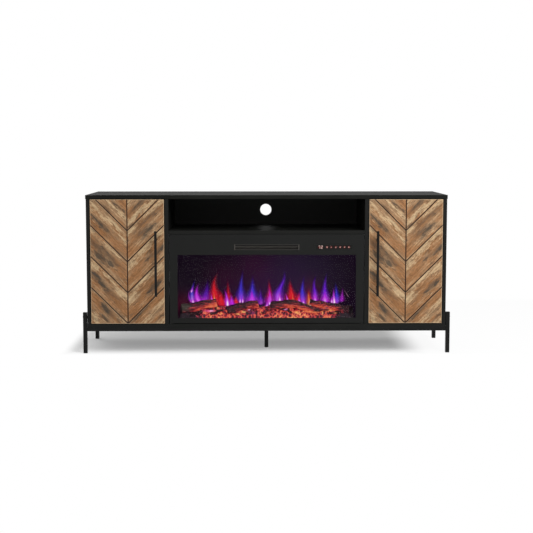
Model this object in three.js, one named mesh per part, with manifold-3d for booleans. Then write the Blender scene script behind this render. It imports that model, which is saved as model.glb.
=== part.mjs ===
// Television stand with an electric fireplace between two cupboards.
// Millimetres, +Z up, the front looks along -Y, and the origin is on the floor under the middle.
import * as THREE from 'three';
import { mergeVertices } from 'three/addons/utils/BufferGeometryUtils.js';
import Module from 'manifold-3d';

const wasm = await Module();
wasm.setup();

// Overall sizes
const topWidth = 1700;
const topDepth = 420;
const bodyBase = 124;

// Boards
const topThickness = 18;
const boardThickness = 16;
const dividerThickness = 18;
const backThickness = 4;
const topOverhang = 2;
const stretcherHeight = 60;

// The bay of the fireplace and the open compartment over it
const bayWidth = 924;
const bayHeight = 427;
const compartmentHeight = 149;
const cableHoleDiameter = 57;
const cableHoleRise = 75;

// Clearances, and the length that a cut runs past a face
const seat = 0.3;
const runningGap = 0.3;
const overrun = 5;

// Numbers of flat sides on round forms, and of steps on short arcs
const smallSides = 8;
const rodSides = 12;
const barSides = 16;
const roundSides = 20;
const wideSides = 24;
const noseSteps = 6;
const slotSteps = 2;
const bladeSteps = 5;
const scrollSteps = 14;
const holeSteps = 16;

// Doors
const doorThickness = 16;
const doorSideGap = 3;
const doorEndGap = 2.5;
const doorBevel = 0.8;
const plankRows = 4;
const plankAngle = THREE.MathUtils.degToRad(45);
const grooveWidth = 4;
const grooveDepth = 1.8;

// Handles
const handleLength = 308;
const handlePostSpacing = 224;
const handleInset = 38;
const handleRise = 286;
const handleReach = 29;
const handleRadius = 6;
const handlePostRadius = 4;
const handleEndBevel = 0.8;

// Hinges
const hingeInset = 95;
const cupRadius = 17.2;
const cupWall = 1.4;
const cupDepth = 11;
const cupCentre = 22;
const cupFlangeWidth = 34;
const cupFlangeHeight = 52;
const cupFlangeThickness = 1.2;
const armWidth = 16;
const armThickness = 6;
const armBack = 72;
const armPlateFront = 40;
const armPlateLift = 5;
const armNoseWidth = 19;
const armNoseDepth = 6.5;
const armCrank = 20;
const armFlangeGap = 2.5;

// Cupboard shelves and their pins
const shelfRise = 288;
const shelfSetback = 26;
const pinRadius = 2.5;
const pinReach = 8;
const pinHoleDepth = 10;
const pinPitch = 32;
const pinInset = 60;

// Leg frame
const tubeSize = 18;
const tubeWall = 1.5;
const legHeight = 195;
const legGap = 3;
const backLegInset = 17;
const drainRadius = 2.5;
const drainInset = 40;
const legBossRadius = 7;
const legBossDrop = 22;
const capHeight = 4;
const capPlug = 14;
const footRadius = 9.5;
const footSetback = 150;
const footPlateSize = 62;
const footPlateThickness = 3;
const footCapHeight = 6;

// Fireplace: trim frame, window, louvre and touch panel
const trimSetback = 1;
const trimGap = 3;
const trimPlate = 2;
const trimDepth = 18;
const sheet = 1.5;
const windowMargin = 38;
const windowHeight = 300;
const windowRise = 25;
const glassThickness = 4;
const glassLap = 12;
const ventWidth = 306;
const ventHeight = 26;
const ventMargin = 36.5;
const ventFrame = 3;
const ventDepth = 15;
const bladeThickness = 2.4;
const bladeGap = 3.4;
const touchWidth = 176;
const touchHeight = 24;
const touchInset = 56;
const controlBoardHeight = 40;
const circuitThickness = 1.6;
const controlBoardLift = 4;
const spacerSize = 6;
const spacerLength = 3;
const chipCount = 5;
const chipPitch = 29;
const chipSize = 12;
const chipLength = 18;
const chipHeight = 4;

// Fireplace: shell and rear cover
const shellSideGap = 22;
const shellDepth = 171;
const shellTopGap = 5;
const ceilingRise = 338;
const coverInset = 1;
const slotWidth = 6;
const slotHeight = 44;
const slotPitch = 18;
const slotCount = 15;
const upperRowDrop = 42;
const lowerRowRise = 60;
const glandRadius = 6;
const glandBore = 4;
const glandFlange = 9;
const glandFlangeThickness = 3;
const glandReach = 8;
const glandInset = 45;
const bracketHeight = 50;
const bracketRise = 220;
const bracketSheet = 2;
const bracketFlange = 26;
const bracketSetback = 24;

// Fireplace: flames, embers and logs
const screenThickness = 3;
const screenSetback = 78;
const screenSideGap = 8;
const spindleRise = 60;
const spindleSetback = 120;
const spindleRadius = 3;
const finReach = 20;
const finLength = 26;
const finThickness = 0.8;
const finSets = 20;
const finTurn = THREE.MathUtils.degToRad(34);
const finMargin = 26;
const bearingSize = 24;
const bearingLength = 14;
const motorRadius = 24;
const motorLength = 20;
const motorEarLength = 65;
const motorHubRadius = 7;
const motorHubLength = 8;
const lampBoardWidth = 14;
const lampMargin = 30;
const lampEndGap = 4;
const lampCount = 18;
const lampSize = 5;
const lampHeight = 1.5;
const emberLampSetback = 38;
const bedSideGap = 24.5;
const bedFront = 5;
const bedDepth = 66;
const bedUnderside = 8;
const bedFrontHeight = 22;
const bedRise = 48;
const bedBump = 7;
const bedBumpLength = 46;
const bedColumns = 46;
const bedRows = 6;
const bedFootWidth = 12;
const logKnot = 2.6;
const logBark = 1.2;
const logSides = 14;
const logRings = 11;

// Heater: duct, element, blower wheel and motor
const ductLength = 300;
const ductFloor = 10;
const ductMouth = 34;
const ductTongueDrop = 6;
const ductTongueReach = 62;
const ductHeight = 68;
const ductDepth = 124;
const wheelSetback = 92;
const wheelRise = 40;
const wheelRadius = 20;
const wheelInnerRadius = 14.5;
const wheelGap = 8;
const wheelDisc = 1.6;
const wheelBlades = 16;
const bladeSheet = 0.9;
const bladeLean = THREE.MathUtils.degToRad(34);
const shaftRadius = 2.5;
const shaftReach = 9;
const heaterSetback = 10;
const heaterDepth = 20;
const heaterHeight = 22;
const heaterMargin = 8;
const heaterFins = 24;
const heaterFinDepth = 5;
const blowerMotorRadius = 17;
const blowerMotorLength = 34;

// Places worked out from the sizes
const bodyHalf = topWidth / 2 - topOverhang;
const bodyDepth = topDepth - 2 * topOverhang;
const panelInner = bodyHalf - boardThickness;
const bayHalf = bayWidth / 2;
const dividerOuter = bayHalf + dividerThickness;
const dividerMiddle = bayHalf + dividerThickness / 2;
const boardTop = bodyBase + boardThickness;
const shelfUnderside = boardTop + bayHeight;
const shelfTop = shelfUnderside + boardThickness;
const topUnderside = shelfTop + compartmentHeight;
const standHeight = topUnderside + topThickness;
const backFront = bodyDepth - backThickness;
const doorWidth = panelInner - dividerOuter - 2 * doorSideGap;
const doorBase = boardTop + doorEndGap;
const doorHeight = topUnderside - doorEndGap - doorBase;
const hingeX = panelInner - doorSideGap;
const foremost = -(handleReach + handleRadius);
const rearmost = topDepth - topOverhang;

// Finishes: colour, roughness and metalness
const blackLaminate = { color: 0x1d1c1b, roughness: 0.55, metalness: 0 };
const blackMetal = { color: 0x1b1b1c, roughness: 0.45, metalness: 0.6 };
const blackTrim = { color: 0x202021, roughness: 0.5, metalness: 0.2 };
const blackPlastic = { color: 0x141414, roughness: 0.6, metalness: 0 };
const rusticWood = { color: 0xa9794f, roughness: 0.65, metalness: 0 };
const nickel = { color: 0xb9b9b6, roughness: 0.3, metalness: 0.9 };
const galvanised = { color: 0x8d9092, roughness: 0.45, metalness: 0.8 };
const darkGlass = { color: 0x0a090c, roughness: 0.06, metalness: 0, transparent: true, opacity: 0.35 };
const screenPlastic = { color: 0x251430, roughness: 0.4, metalness: 0 };
const circuitGreen = { color: 0x1f5a3a, roughness: 0.5, metalness: 0 };
const emberResin = { color: 0xc8401a, roughness: 0.7, metalness: 0 };
const logResin = { color: 0x6d4a3a, roughness: 0.85, metalness: 0 };
const ceramic = { color: 0xcfcabf, roughness: 0.7, metalness: 0 };

const count = (number) => Array.from({ length: number }, (_, index) => index);
const span = (a, b) => [Math.min(a, b), Math.max(a, b)];
const around = (middle, size) => [middle - size / 2, middle + size / 2];

// A box between two limits along each axis
function block(x, y, z) {
  const geometry = new THREE.BoxGeometry(x[1] - x[0], y[1] - y[0], z[1] - z[0]);
  return geometry.translate((x[0] + x[1]) / 2, (y[0] + y[1]) / 2, (z[0] + z[1]) / 2);
}

// Round rods along each axis, between two places on it
function rodX(radius, x, y, z, sides) {
  const geometry = new THREE.CylinderGeometry(radius, radius, x[1] - x[0], sides).rotateZ(Math.PI / 2);
  return geometry.translate((x[0] + x[1]) / 2, y, z);
}

function rodY(radius, x, y, z, sides) {
  const geometry = new THREE.CylinderGeometry(radius, radius, y[1] - y[0], sides);
  return geometry.translate(x, (y[0] + y[1]) / 2, z);
}

function rodZ(radius, x, y, z, sides) {
  const geometry = new THREE.CylinderGeometry(radius, radius, z[1] - z[0], sides).rotateX(Math.PI / 2);
  return geometry.translate(x, y, (z[0] + z[1]) / 2);
}

// Outlines drawn across an axis and drawn out along it: Y by Z along X, X by Z along Y, X by Y along Z
function alongX(outline, x, options = {}) {
  const depth = x[1] - x[0];
  const geometry = new THREE.ExtrudeGeometry(outline, { depth, bevelEnabled: false, ...options });
  const turn = new THREE.Matrix4().makeBasis(
    new THREE.Vector3(0, 1, 0),
    new THREE.Vector3(0, 0, 1),
    new THREE.Vector3(1, 0, 0),
  );
  return geometry.applyMatrix4(turn).translate(x[0], 0, 0);
}

function alongY(outline, y, options = {}) {
  const depth = y[1] - y[0];
  const geometry = new THREE.ExtrudeGeometry(outline, { depth, bevelEnabled: false, ...options });
  return geometry.rotateX(Math.PI / 2).translate(0, y[1], 0);
}

function alongZ(outline, z) {
  const geometry = new THREE.ExtrudeGeometry(outline, { depth: z[1] - z[0], bevelEnabled: false });
  return geometry.translate(0, 0, z[0]);
}

function outlineOf(points) {
  return new THREE.Shape(points.map(([a, b]) => new THREE.Vector2(a, b)));
}

function rectangle(a, b) {
  return outlineOf([[a[0], b[0]], [a[1], b[0]], [a[1], b[1]], [a[0], b[1]]]);
}

// A closed geometry as a solid that can be cut and joined, and back again
function solid(geometry) {
  const bare = geometry.clone();
  bare.deleteAttribute('normal');
  bare.deleteAttribute('uv');
  const merged = mergeVertices(bare);
  const vertProperties = new Float32Array(merged.attributes.position.array);
  const triVerts = new Uint32Array(merged.index.array);
  return new wasm.Manifold(new wasm.Mesh({ numProp: 3, vertProperties, triVerts }));
}

function surface(body) {
  const mesh = body.getMesh();
  const geometry = new THREE.BufferGeometry();
  geometry.setAttribute('position', new THREE.BufferAttribute(new Float32Array(mesh.vertProperties), 3));
  geometry.setIndex(new THREE.BufferAttribute(new Uint32Array(mesh.triVerts), 1));
  const flat = geometry.toNonIndexed();
  flat.computeVertexNormals();
  return flat;
}

const join = (...geometries) => geometries.map(solid).reduce((whole, part) => whole.add(part));
const cut = (body, ...tools) => tools.map(solid).reduce((rest, part) => rest.subtract(part), body);

function piece(name, shape, finish, place = [0, 0, 0]) {
  const geometry = shape instanceof THREE.BufferGeometry ? shape : surface(shape);
  const mesh = new THREE.Mesh(geometry, new THREE.MeshStandardMaterial(finish));
  mesh.name = name;
  mesh.position.set(...place);
  return mesh;
}

// A board that stands up beside a cupboard, with the shelf's pins in its face and spare holes by
// them. The cupboard lies towards +X of the board where cupboardWay is 1, and towards -X where -1.
function upright(x, y, z, cupboardWay) {
  const face = cupboardWay > 0 ? x[1] : x[0];
  const rows = [shelfSetback + pinInset, backFront - pinInset];
  const pinHeight = boardTop + shelfRise - pinRadius - seat;
  const holeEnd = face - cupboardWay * pinHoleDepth;
  const drilled = [-1, 1].flatMap((step) => rows.map((row) => rodX(
    pinRadius,
    span(face + cupboardWay * overrun, holeEnd),
    row,
    pinHeight + step * pinPitch,
    smallSides,
  )));
  const pins = rows.map((row) => rodX(
    pinRadius,
    span(face + cupboardWay * pinReach, holeEnd),
    row,
    pinHeight,
    smallSides,
  ));
  return cut(join(block(x, y, z), ...pins), ...drilled);
}

// Cabinet body: boards joined edge to face, with the top resting on the sides and dividers
function bodyBoards() {
  const body = new THREE.Group();
  const insideDepth = [0, backFront - seat];
  const upper = topUnderside - seat;
  const topBoard = block(around(0, topWidth), [-topOverhang, rearmost], [topUnderside, standHeight]);
  body.add(piece('top_board', topBoard, blackLaminate));
  for (const [label, side] of [['left', -1], ['right', 1]]) {
    const panelX = span(side * panelInner, side * bodyHalf);
    const panel = upright(panelX, [0, bodyDepth], [bodyBase, upper], -side);
    body.add(piece(label + '_side_panel', panel, blackLaminate));
    const dividerX = span(side * bayHalf, side * dividerOuter);
    const divider = upright(dividerX, insideDepth, [boardTop + seat, upper], side);
    body.add(piece(label + '_divider', divider, blackLaminate));
    const backX = span(side * (dividerMiddle + seat), side * (panelInner - seat));
    body.add(piece(
      label + '_back_panel',
      block(backX, [backFront, bodyDepth], [bodyBase, upper]),
      blackLaminate,
    ));
    const shelfX = span(side * (dividerOuter + seat), side * (panelInner - seat));
    const shelfZ = [boardTop + shelfRise, boardTop + shelfRise + boardThickness];
    const shelf = block(shelfX, [shelfSetback, backFront - seat], shelfZ);
    body.add(piece(label + '_cupboard_shelf', shelf, blackLaminate));
  }
  const inside = [-panelInner + seat, panelInner - seat];
  body.add(piece('bottom_board', block(inside, insideDepth, [bodyBase, boardTop]), blackLaminate));
  const between = [-bayHalf + seat, bayHalf - seat];
  body.add(piece('centre_shelf', block(between, insideDepth, [shelfUnderside, shelfTop]), blackLaminate));
  const stretcherY = [backFront - seat - boardThickness, backFront - seat];
  const stretcherZ = [boardTop + seat, boardTop + stretcherHeight];
  body.add(piece('rear_stretcher', block(between, stretcherY, stretcherZ), blackLaminate));
  const centreBack = rectangle([-dividerMiddle, dividerMiddle], [shelfUnderside, upper]);
  const cableHole = new THREE.Path();
  cableHole.absarc(0, shelfTop + cableHoleRise, cableHoleDiameter / 2, 0, 2 * Math.PI);
  centreBack.holes.push(cableHole);
  const drilledBack = alongY(centreBack, [backFront, bodyDepth], { curveSegments: holeSteps });
  body.add(piece('centre_back_panel', drilledBack, blackLaminate));
  return body;
}

// Leg frame: square tubes welded into a side frame at each end, with rails between them
function legFrame(side) {
  const inner = bodyHalf + legGap;
  const outer = inner + tubeSize;
  const x = span(side * inner, side * outer);
  const boreX = span(side * (inner + tubeWall), side * (outer - tubeWall));
  const railTop = bodyBase - seat;
  const railZ = [railTop - tubeSize, railTop];
  const backLeg = bodyDepth - backLegInset - tubeSize;
  const legs = [[0, tubeSize], [backLeg, backLeg + tubeSize]];
  const rail = block(x, [tubeSize / 2, backLeg + tubeSize / 2], railZ);
  const bosses = legs.map((y) => rodX(
    legBossRadius,
    span(side * (bodyHalf + seat), side * (inner + tubeWall)),
    y[0] + tubeSize / 2,
    legHeight - legBossDrop,
    rodSides,
  ));
  const outside = join(...legs.map((y) => block(x, y, [capHeight + seat, legHeight])), rail, ...bosses);
  const legBores = legs.map((y) => block(
    boreX,
    [y[0] + tubeWall, y[1] - tubeWall],
    [-overrun, legHeight - tubeWall],
  ));
  const railBore = block(boreX, [tubeSize, backLeg], [railZ[0] + tubeWall, railZ[1] - tubeWall]);
  const drains = [tubeSize + drainInset, backLeg - drainInset].map((y) => rodZ(
    drainRadius,
    side * (inner + tubeSize / 2),
    y,
    [railZ[0] - overrun, railZ[0] + tubeSize / 2],
    smallSides,
  ));
  return cut(outside, ...legBores, railBore, ...drains);
}

// Square tube rail between the two side frames
function crossRail(y) {
  const half = bodyHalf + legGap - seat;
  const railTop = bodyBase - seat;
  const section = rectangle([y, y + tubeSize], [railTop - tubeSize, railTop]);
  const bore = rectangle(
    [y + tubeWall, y + tubeSize - tubeWall],
    [railTop - tubeSize + tubeWall, railTop - tubeWall],
  );
  section.holes.push(bore);
  return alongX(section, [-half, half]);
}

// Plastic cap that plugs the open lower end of a leg
function legCap() {
  const half = tubeSize / 2;
  const plug = half - tubeWall - seat;
  return join(
    block([-half, half], [-half, half], [0, capHeight]),
    block([-plug, plug], [-plug, plug], [capHeight / 2, capHeight + capPlug]),
  );
}

// Round steel foot with a screw plate, under the middle of the bottom board
function centreFoot() {
  const plateTop = bodyBase - seat;
  const plate = around(0, footPlateSize);
  const plateY = around(footSetback, footPlateSize);
  const tubeZ = [footCapHeight + seat, plateTop - footPlateThickness / 2];
  const tube = rodZ(footRadius, 0, footSetback, tubeZ, roundSides);
  const bore = rodZ(
    footRadius - tubeWall,
    0,
    footSetback,
    [0, plateTop - footPlateThickness - tubeWall],
    roundSides,
  );
  return cut(join(block(plate, plateY, [plateTop - footPlateThickness, plateTop]), tube), bore);
}

function centreFootCap() {
  const plug = footRadius - tubeWall - seat;
  return join(
    rodZ(footRadius, 0, footSetback, [0, footCapHeight], roundSides),
    rodZ(plug, 0, footSetback, [footCapHeight / 2, footCapHeight + capPlug], roundSides),
  );
}

function legs() {
  const group = new THREE.Group();
  const middle = bodyHalf + legGap + tubeSize / 2;
  const backLeg = bodyDepth - backLegInset - tubeSize / 2;
  for (const [label, side] of [['left', -1], ['right', 1]]) {
    group.add(piece(label + '_leg_frame', legFrame(side), blackMetal));
    for (const [row, y] of [['front', tubeSize / 2], ['back', backLeg]]) {
      group.add(piece(row + '_' + label + '_leg_cap', legCap(), blackPlastic, [side * middle, y, 0]));
    }
  }
  group.add(piece('front_rail', crossRail(0), blackMetal));
  group.add(piece('back_rail', crossRail(backLeg - tubeSize / 2), blackMetal));
  group.add(piece('centre_foot', centreFoot(), blackMetal));
  group.add(piece('centre_foot_cap', centreFootCap(), blackPlastic));
  return group;
}

// A groove cutter: a V that runs up +Z from the origin and points along +Y into the board
function grooveCutter(length) {
  const section = outlineOf([[-grooveWidth, -grooveDepth], [grooveWidth, -grooveDepth], [0, grooveDepth]]);
  return alongZ(section, [0, length]);
}

// Door leaf in its own frame: the hinge axis is the origin, and the leaf runs towards the middle
// of the stand. Routed grooves divide it into chevron planks that meet on its centre line.
function doorLeaf(side) {
  const x = span(0, -side * doorWidth);
  const centre = (x[0] + x[1]) / 2;
  const face = rectangle([x[0] + doorBevel, x[1] - doorBevel], [doorBevel, doorHeight - doorBevel]);
  const leaf = alongY(face, [doorBevel, doorThickness - doorBevel], {
    bevelEnabled: true,
    bevelSegments: 1,
    bevelSize: doorBevel,
    bevelThickness: doorBevel,
  });
  const tilt = Math.PI / 2 - plankAngle;
  const reach = doorWidth / 2 / Math.sin(tilt) + overrun;
  const pitch = doorHeight / plankRows;
  const grooves = [grooveCutter(doorHeight + 2 * overrun).translate(centre, 0, -overrun)];
  for (const row of count(plankRows)) {
    for (const way of [-1, 1]) {
      grooves.push(grooveCutter(reach).rotateY(way * tilt).translate(centre, 0, row * pitch));
    }
  }
  const cupHoles = [hingeInset, doorHeight - hingeInset].map((z) => rodY(
    cupRadius + seat,
    -side * cupCentre,
    [doorThickness - cupDepth - seat, doorThickness + overrun],
    z,
    wideSides,
  ));
  return cut(solid(leaf), ...grooves, ...cupHoles);
}

// Bar handle: a round bar with bevelled ends on two round posts
function barHandle(side) {
  const half = handleLength / 2;
  const profile = [
    [0, -half],
    [handleRadius - handleEndBevel, -half],
    [handleRadius, -half + handleEndBevel],
    [handleRadius, half - handleEndBevel],
    [handleRadius - handleEndBevel, half],
    [0, half],
  ].map(([radius, along]) => new THREE.Vector2(radius, along));
  const x = -side * (doorWidth - handleInset);
  const bar = new THREE.LatheGeometry(profile, barSides).rotateX(Math.PI / 2);
  bar.translate(x, -handleReach, handleRise);
  const posts = [-1, 1].map((end) => rodY(
    handlePostRadius,
    x,
    [-handleReach, -seat],
    handleRise + end * handlePostSpacing / 2,
    rodSides,
  ));
  return join(bar, ...posts);
}

// Hinge cup let into the back of the door, with the flange that it is screwed on by
function hingeCup(side, z) {
  const x = -side * cupCentre;
  const flangeY = [doorThickness + seat, doorThickness + seat + cupFlangeThickness];
  const flange = block(around(x, cupFlangeWidth), flangeY, around(z, cupFlangeHeight));
  const cupY = [doorThickness - cupDepth, flangeY[1] - cupFlangeThickness / 2];
  const cup = rodY(cupRadius, x, cupY, z, wideSides);
  const hollowY = [doorThickness - cupDepth + cupWall, flangeY[1] + overrun];
  const hollow = rodY(cupRadius - cupWall, x, hollowY, z, wideSides);
  return cut(join(flange, cup), hollow);
}

function door(label, side) {
  const group = new THREE.Group();
  group.position.set(side * hingeX, 0, doorBase);
  group.add(piece(label + '_door', doorLeaf(side), rusticWood));
  group.add(piece(label + '_handle', barHandle(side), blackMetal));
  group.add(piece(label + '_lower_hinge_cup', hingeCup(side, hingeInset), nickel));
  group.add(piece(label + '_upper_hinge_cup', hingeCup(side, doorHeight - hingeInset), nickel));
  return group;
}

// Hinge arm with its plate: screwed to the side panel and cranked round the door's edge. Its nose
// reaches into the cup, is rounded like the cup, and bears on the wall that the door opens away from.
function hingeArm(side) {
  const cupMiddle = doorSideGap + cupCentre;
  const noseRadius = cupRadius - cupWall - seat;
  const nose = [cupMiddle + noseRadius - armNoseWidth, cupMiddle + noseRadius];
  const crankFront = doorThickness + seat + cupFlangeThickness + armFlangeGap;
  const crankBack = crankFront + armThickness / 2;
  const plan = outlineOf([
    [seat, armPlateFront],
    [seat, armBack],
    [armPlateLift + armThickness, armBack],
    [armPlateLift + armThickness, crankFront + armCrank],
    [nose[1], crankBack],
    [nose[1], crankFront],
    [nose[0], crankFront],
    [armPlateLift, crankFront + armCrank / 2],
    [armPlateLift, armPlateFront],
  ].map(([inward, y]) => [-side * inward, y]));
  const corner = Math.asin(armWidth / 2 / noseRadius);
  const round = new THREE.Shape();
  round.moveTo(nose[0] - cupMiddle, armWidth / 2);
  round.lineTo(nose[0] - cupMiddle, -armWidth / 2);
  round.absarc(0, 0, noseRadius, -corner, corner);
  round.closePath();
  const tip = alongY(round, [doorThickness - armNoseDepth, crankBack], { curveSegments: noseSteps });
  if (side > 0) tip.rotateZ(Math.PI).translate(0, doorThickness - armNoseDepth + crankBack, 0);
  return join(alongZ(plan, around(0, armWidth)), tip.translate(-side * cupMiddle, 0, 0));
}

function hingeArms(label, side) {
  const group = new THREE.Group();
  group.position.set(side * panelInner, 0, doorBase);
  group.add(piece(label + '_lower_hinge_arm', hingeArm(side), nickel, [0, 0, hingeInset]));
  group.add(piece(label + '_upper_hinge_arm', hingeArm(side), nickel, [0, 0, doorHeight - hingeInset]));
  return group;
}

// The fireplace group stands on the bottom board: its origin is the trim's lower front edge line
const trimWidth = bayWidth - 2 * trimGap;
const trimHeight = bayHeight - trimGap - trimGap / 2;
const windowWidth = trimWidth - 2 * windowMargin;
const touchCentre = trimWidth / 2 - touchInset - touchWidth / 2;
const ventRise = windowRise + windowHeight + ventMargin;
const glassBack = trimPlate + seat + glassThickness;
const shellFront = trimDepth + seat;
const shellFloor = seat - trimGap;
const shellWidth = bayWidth - 2 * shellSideGap;
const shellHeight = bayHeight - shellTopGap - seat;
const upperRowRise = shellHeight - upperRowDrop;
const shellBack = shellFront + shellDepth;
const chamberHalf = shellWidth / 2 - sheet;
const bedWidth = 2 * (chamberHalf - bedSideGap);
const chamberFloor = shellFloor + sheet + seat;
const ceilingTop = shellFloor + ceilingRise + sheet;

// Trim frame: a folded steel tray with openings for the window, the louvre and the touch panel
function trimFrame() {
  const half = trimWidth / 2;
  const through = [-overrun, trimPlate + overrun];
  const tray = solid(block([-half, half], [0, trimDepth], [0, trimHeight]));
  return cut(
    tray,
    block([sheet - half, half - sheet], [trimPlate, trimDepth + overrun], [sheet, trimHeight - sheet]),
    block(around(0, windowWidth), through, [windowRise, windowRise + windowHeight]),
    block(around(0, ventWidth), through, around(ventRise, ventHeight)),
    block(around(touchCentre, touchWidth), through, around(ventRise, touchHeight)),
  );
}

function windowGlass() {
  const outline = rectangle(
    around(0, windowWidth + 2 * glassLap),
    [windowRise - glassLap, windowRise + windowHeight + glassLap],
  );
  return alongY(outline, [trimPlate + seat, glassBack]);
}

// Louvre: a frame with two rounded blades, which guide the warm air out
function ventLouvre() {
  const width = ventWidth - 2 * seat;
  const height = ventHeight - 2 * seat;
  const outline = rectangle(around(0, width), around(ventRise, height));
  outline.holes.push(rectangle(
    around(0, width - 2 * ventFrame),
    around(ventRise, height - 2 * ventFrame),
  ));
  const blades = [-1, 1].map((step) => {
    const middle = ventRise + step * bladeGap;
    const section = new THREE.Shape();
    section.moveTo(ventDepth, middle + step * bladeThickness / 2 - bladeThickness / 2);
    section.lineTo(ventDepth, middle + step * bladeThickness / 2 + bladeThickness / 2);
    section.lineTo(bladeThickness, middle + bladeThickness / 2);
    section.absarc(bladeThickness, middle, bladeThickness / 2, Math.PI / 2, 1.5 * Math.PI);
    section.closePath();
    return alongX(section, around(0, width - ventFrame), { curveSegments: bladeSteps });
  });
  return join(alongY(outline, [0, ventDepth]), ...blades);
}

function touchPanel() {
  const width = touchWidth - 2 * seat;
  const height = touchHeight - 2 * seat;
  return block(around(touchCentre, width), [0, trimPlate], around(ventRise, height));
}

// Circuit board behind the touch panel, on spacers, with its larger parts on the back
function controlBoard() {
  const front = trimPlate + seat;
  const boardY = [front + spacerLength, front + spacerLength + circuitThickness];
  const middle = ventRise + controlBoardLift;
  const board = block(around(touchCentre, touchWidth), boardY, around(middle, controlBoardHeight));
  const ends = [-1, 1].map((end) => touchCentre + end * (touchWidth / 2 - spacerSize));
  const spacers = ends.map((x) => block(
    around(x, spacerSize),
    [front, boardY[1] - circuitThickness / 2],
    around(ventRise, spacerSize),
  ));
  const chips = count(chipCount).map((index) => block(
    around(touchCentre + (index - (chipCount - 1) / 2) * chipPitch, index % 2 ? chipSize : chipLength),
    [boardY[0] + circuitThickness / 2, boardY[1] + chipHeight],
    around(middle, chipSize),
  ));
  return join(board, ...spacers, ...chips);
}

// Firebox shell: folded sheet open at the front and back, with the ceiling that parts flames and heater
function fireboxShell() {
  const half = shellWidth / 2;
  const y = [shellFront, shellBack];
  const wide = [sheet - half, half - sheet];
  const past = [y[0] - overrun, y[1] + overrun];
  const shell = solid(block([-half, half], y, [shellFloor, shellFloor + shellHeight]));
  return cut(
    shell,
    block(wide, past, [shellFloor + sheet, shellFloor + ceilingRise]),
    block(wide, past, [ceilingTop, shellFloor + shellHeight - sheet]),
  );
}

// Rear cover with two rows of air slots, and the hole of the cord gland in line with the upper row
function rearCover() {
  const half = shellWidth / 2 - coverInset;
  const cover = rectangle([-half, half], [shellFloor + coverInset, shellFloor + shellHeight - coverInset]);
  for (const rise of [lowerRowRise, upperRowRise]) {
    for (const index of count(slotCount)) {
      const x = (index - (slotCount - 1) / 2) * slotPitch;
      const straight = (slotHeight - slotWidth) / 2;
      const slot = new THREE.Path();
      slot.absarc(x, shellFloor + rise + straight, slotWidth / 2, 0, Math.PI);
      slot.absarc(x, shellFloor + rise - straight, slotWidth / 2, Math.PI, 2 * Math.PI);
      slot.closePath();
      cover.holes.push(slot);
    }
  }
  const y = [shellBack + seat, shellBack + seat + sheet];
  const glandY = [y[0] - overrun, y[1] + overrun];
  const glandZ = shellFloor + upperRowRise;
  const glandHole = rodY(glandRadius + seat, glandInset - half, glandY, glandZ, roundSides);
  return cut(solid(alongY(cover, y, { curveSegments: slotSteps })), glandHole);
}

// Bush that the supply lead leaves by: a flanged ring clipped into the rear cover
function cordGland() {
  const back = shellBack + seat + sheet + seat;
  const profile = [
    [glandBore, -glandReach],
    [glandRadius, -glandReach],
    [glandRadius, 0],
    [glandFlange, 0],
    [glandFlange, glandFlangeThickness],
    [glandRadius, glandFlangeThickness + glandReach / 2],
    [glandBore, glandFlangeThickness + glandReach / 2],
    [glandBore, -glandReach],
  ].map(([radius, along]) => new THREE.Vector2(radius, along));
  const x = coverInset + glandInset - shellWidth / 2;
  return new THREE.LatheGeometry(profile, barSides).translate(x, back, shellFloor + upperRowRise);
}

// Folded bracket from the side of the shell to the divider beside it
function mountBracket(side) {
  const inner = shellWidth / 2 + seat;
  const outer = bayHalf - seat;
  const web = shellFront + bracketSetback;
  const plan = outlineOf([
    [inner, web],
    [outer - bracketSheet, web],
    [outer - bracketSheet, web - bracketFlange + bracketSheet],
    [outer, web - bracketFlange + bracketSheet],
    [outer, web + bracketSheet],
    [inner + bracketSheet, web + bracketSheet],
    [inner + bracketSheet, web + bracketFlange],
    [inner, web + bracketFlange],
  ].map(([x, y]) => [side * x, y]));
  return alongZ(plan, around(bracketRise, bracketHeight));
}

// Translucent panel that the flames are thrown on from behind
function flameScreen() {
  const front = shellFront + screenSetback;
  const half = chamberHalf - screenSideGap;
  const top = shellFloor + ceilingRise - seat;
  return block([-half, half], [front, front + screenThickness], [chamberFloor, top]);
}

const spindleY = shellFront + spindleSetback;
const spindleZ = chamberFloor + spindleRise;
const bearingInner = chamberHalf - seat - bearingLength;
const motorInner = chamberHalf - seat - motorLength;

// Spindle with sets of crossed fins, each set turned from the last, which throw back moving light
function flameSpindle() {
  const from = -(chamberHalf - seat - bearingLength / 2);
  const to = motorInner - motorHubLength / 2;
  const rod = rodX(spindleRadius, [from, to], 0, 0, rodSides);
  const first = -bearingInner + finMargin;
  const last = motorInner - motorHubLength - finMargin;
  const fins = count(finSets).flatMap((index) => {
    const middle = first + (last - first) * index / (finSets - 1);
    return [0, Math.PI / 2].map((quarter) => block(
      around(middle, finLength),
      around(0, finThickness),
      [-finReach, finReach],
    ).rotateX(quarter + index * finTurn));
  });
  return join(rod, ...fins);
}

function spindleBearing() {
  const body = block(
    [-(chamberHalf - seat), -bearingInner],
    around(spindleY, bearingSize),
    around(spindleZ, bearingSize),
  );
  const boreX = [-(chamberHalf - seat - bearingLength / 2) - runningGap, -bearingInner + overrun];
  return cut(solid(body), rodX(spindleRadius + runningGap, boreX, spindleY, spindleZ, rodSides));
}

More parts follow.
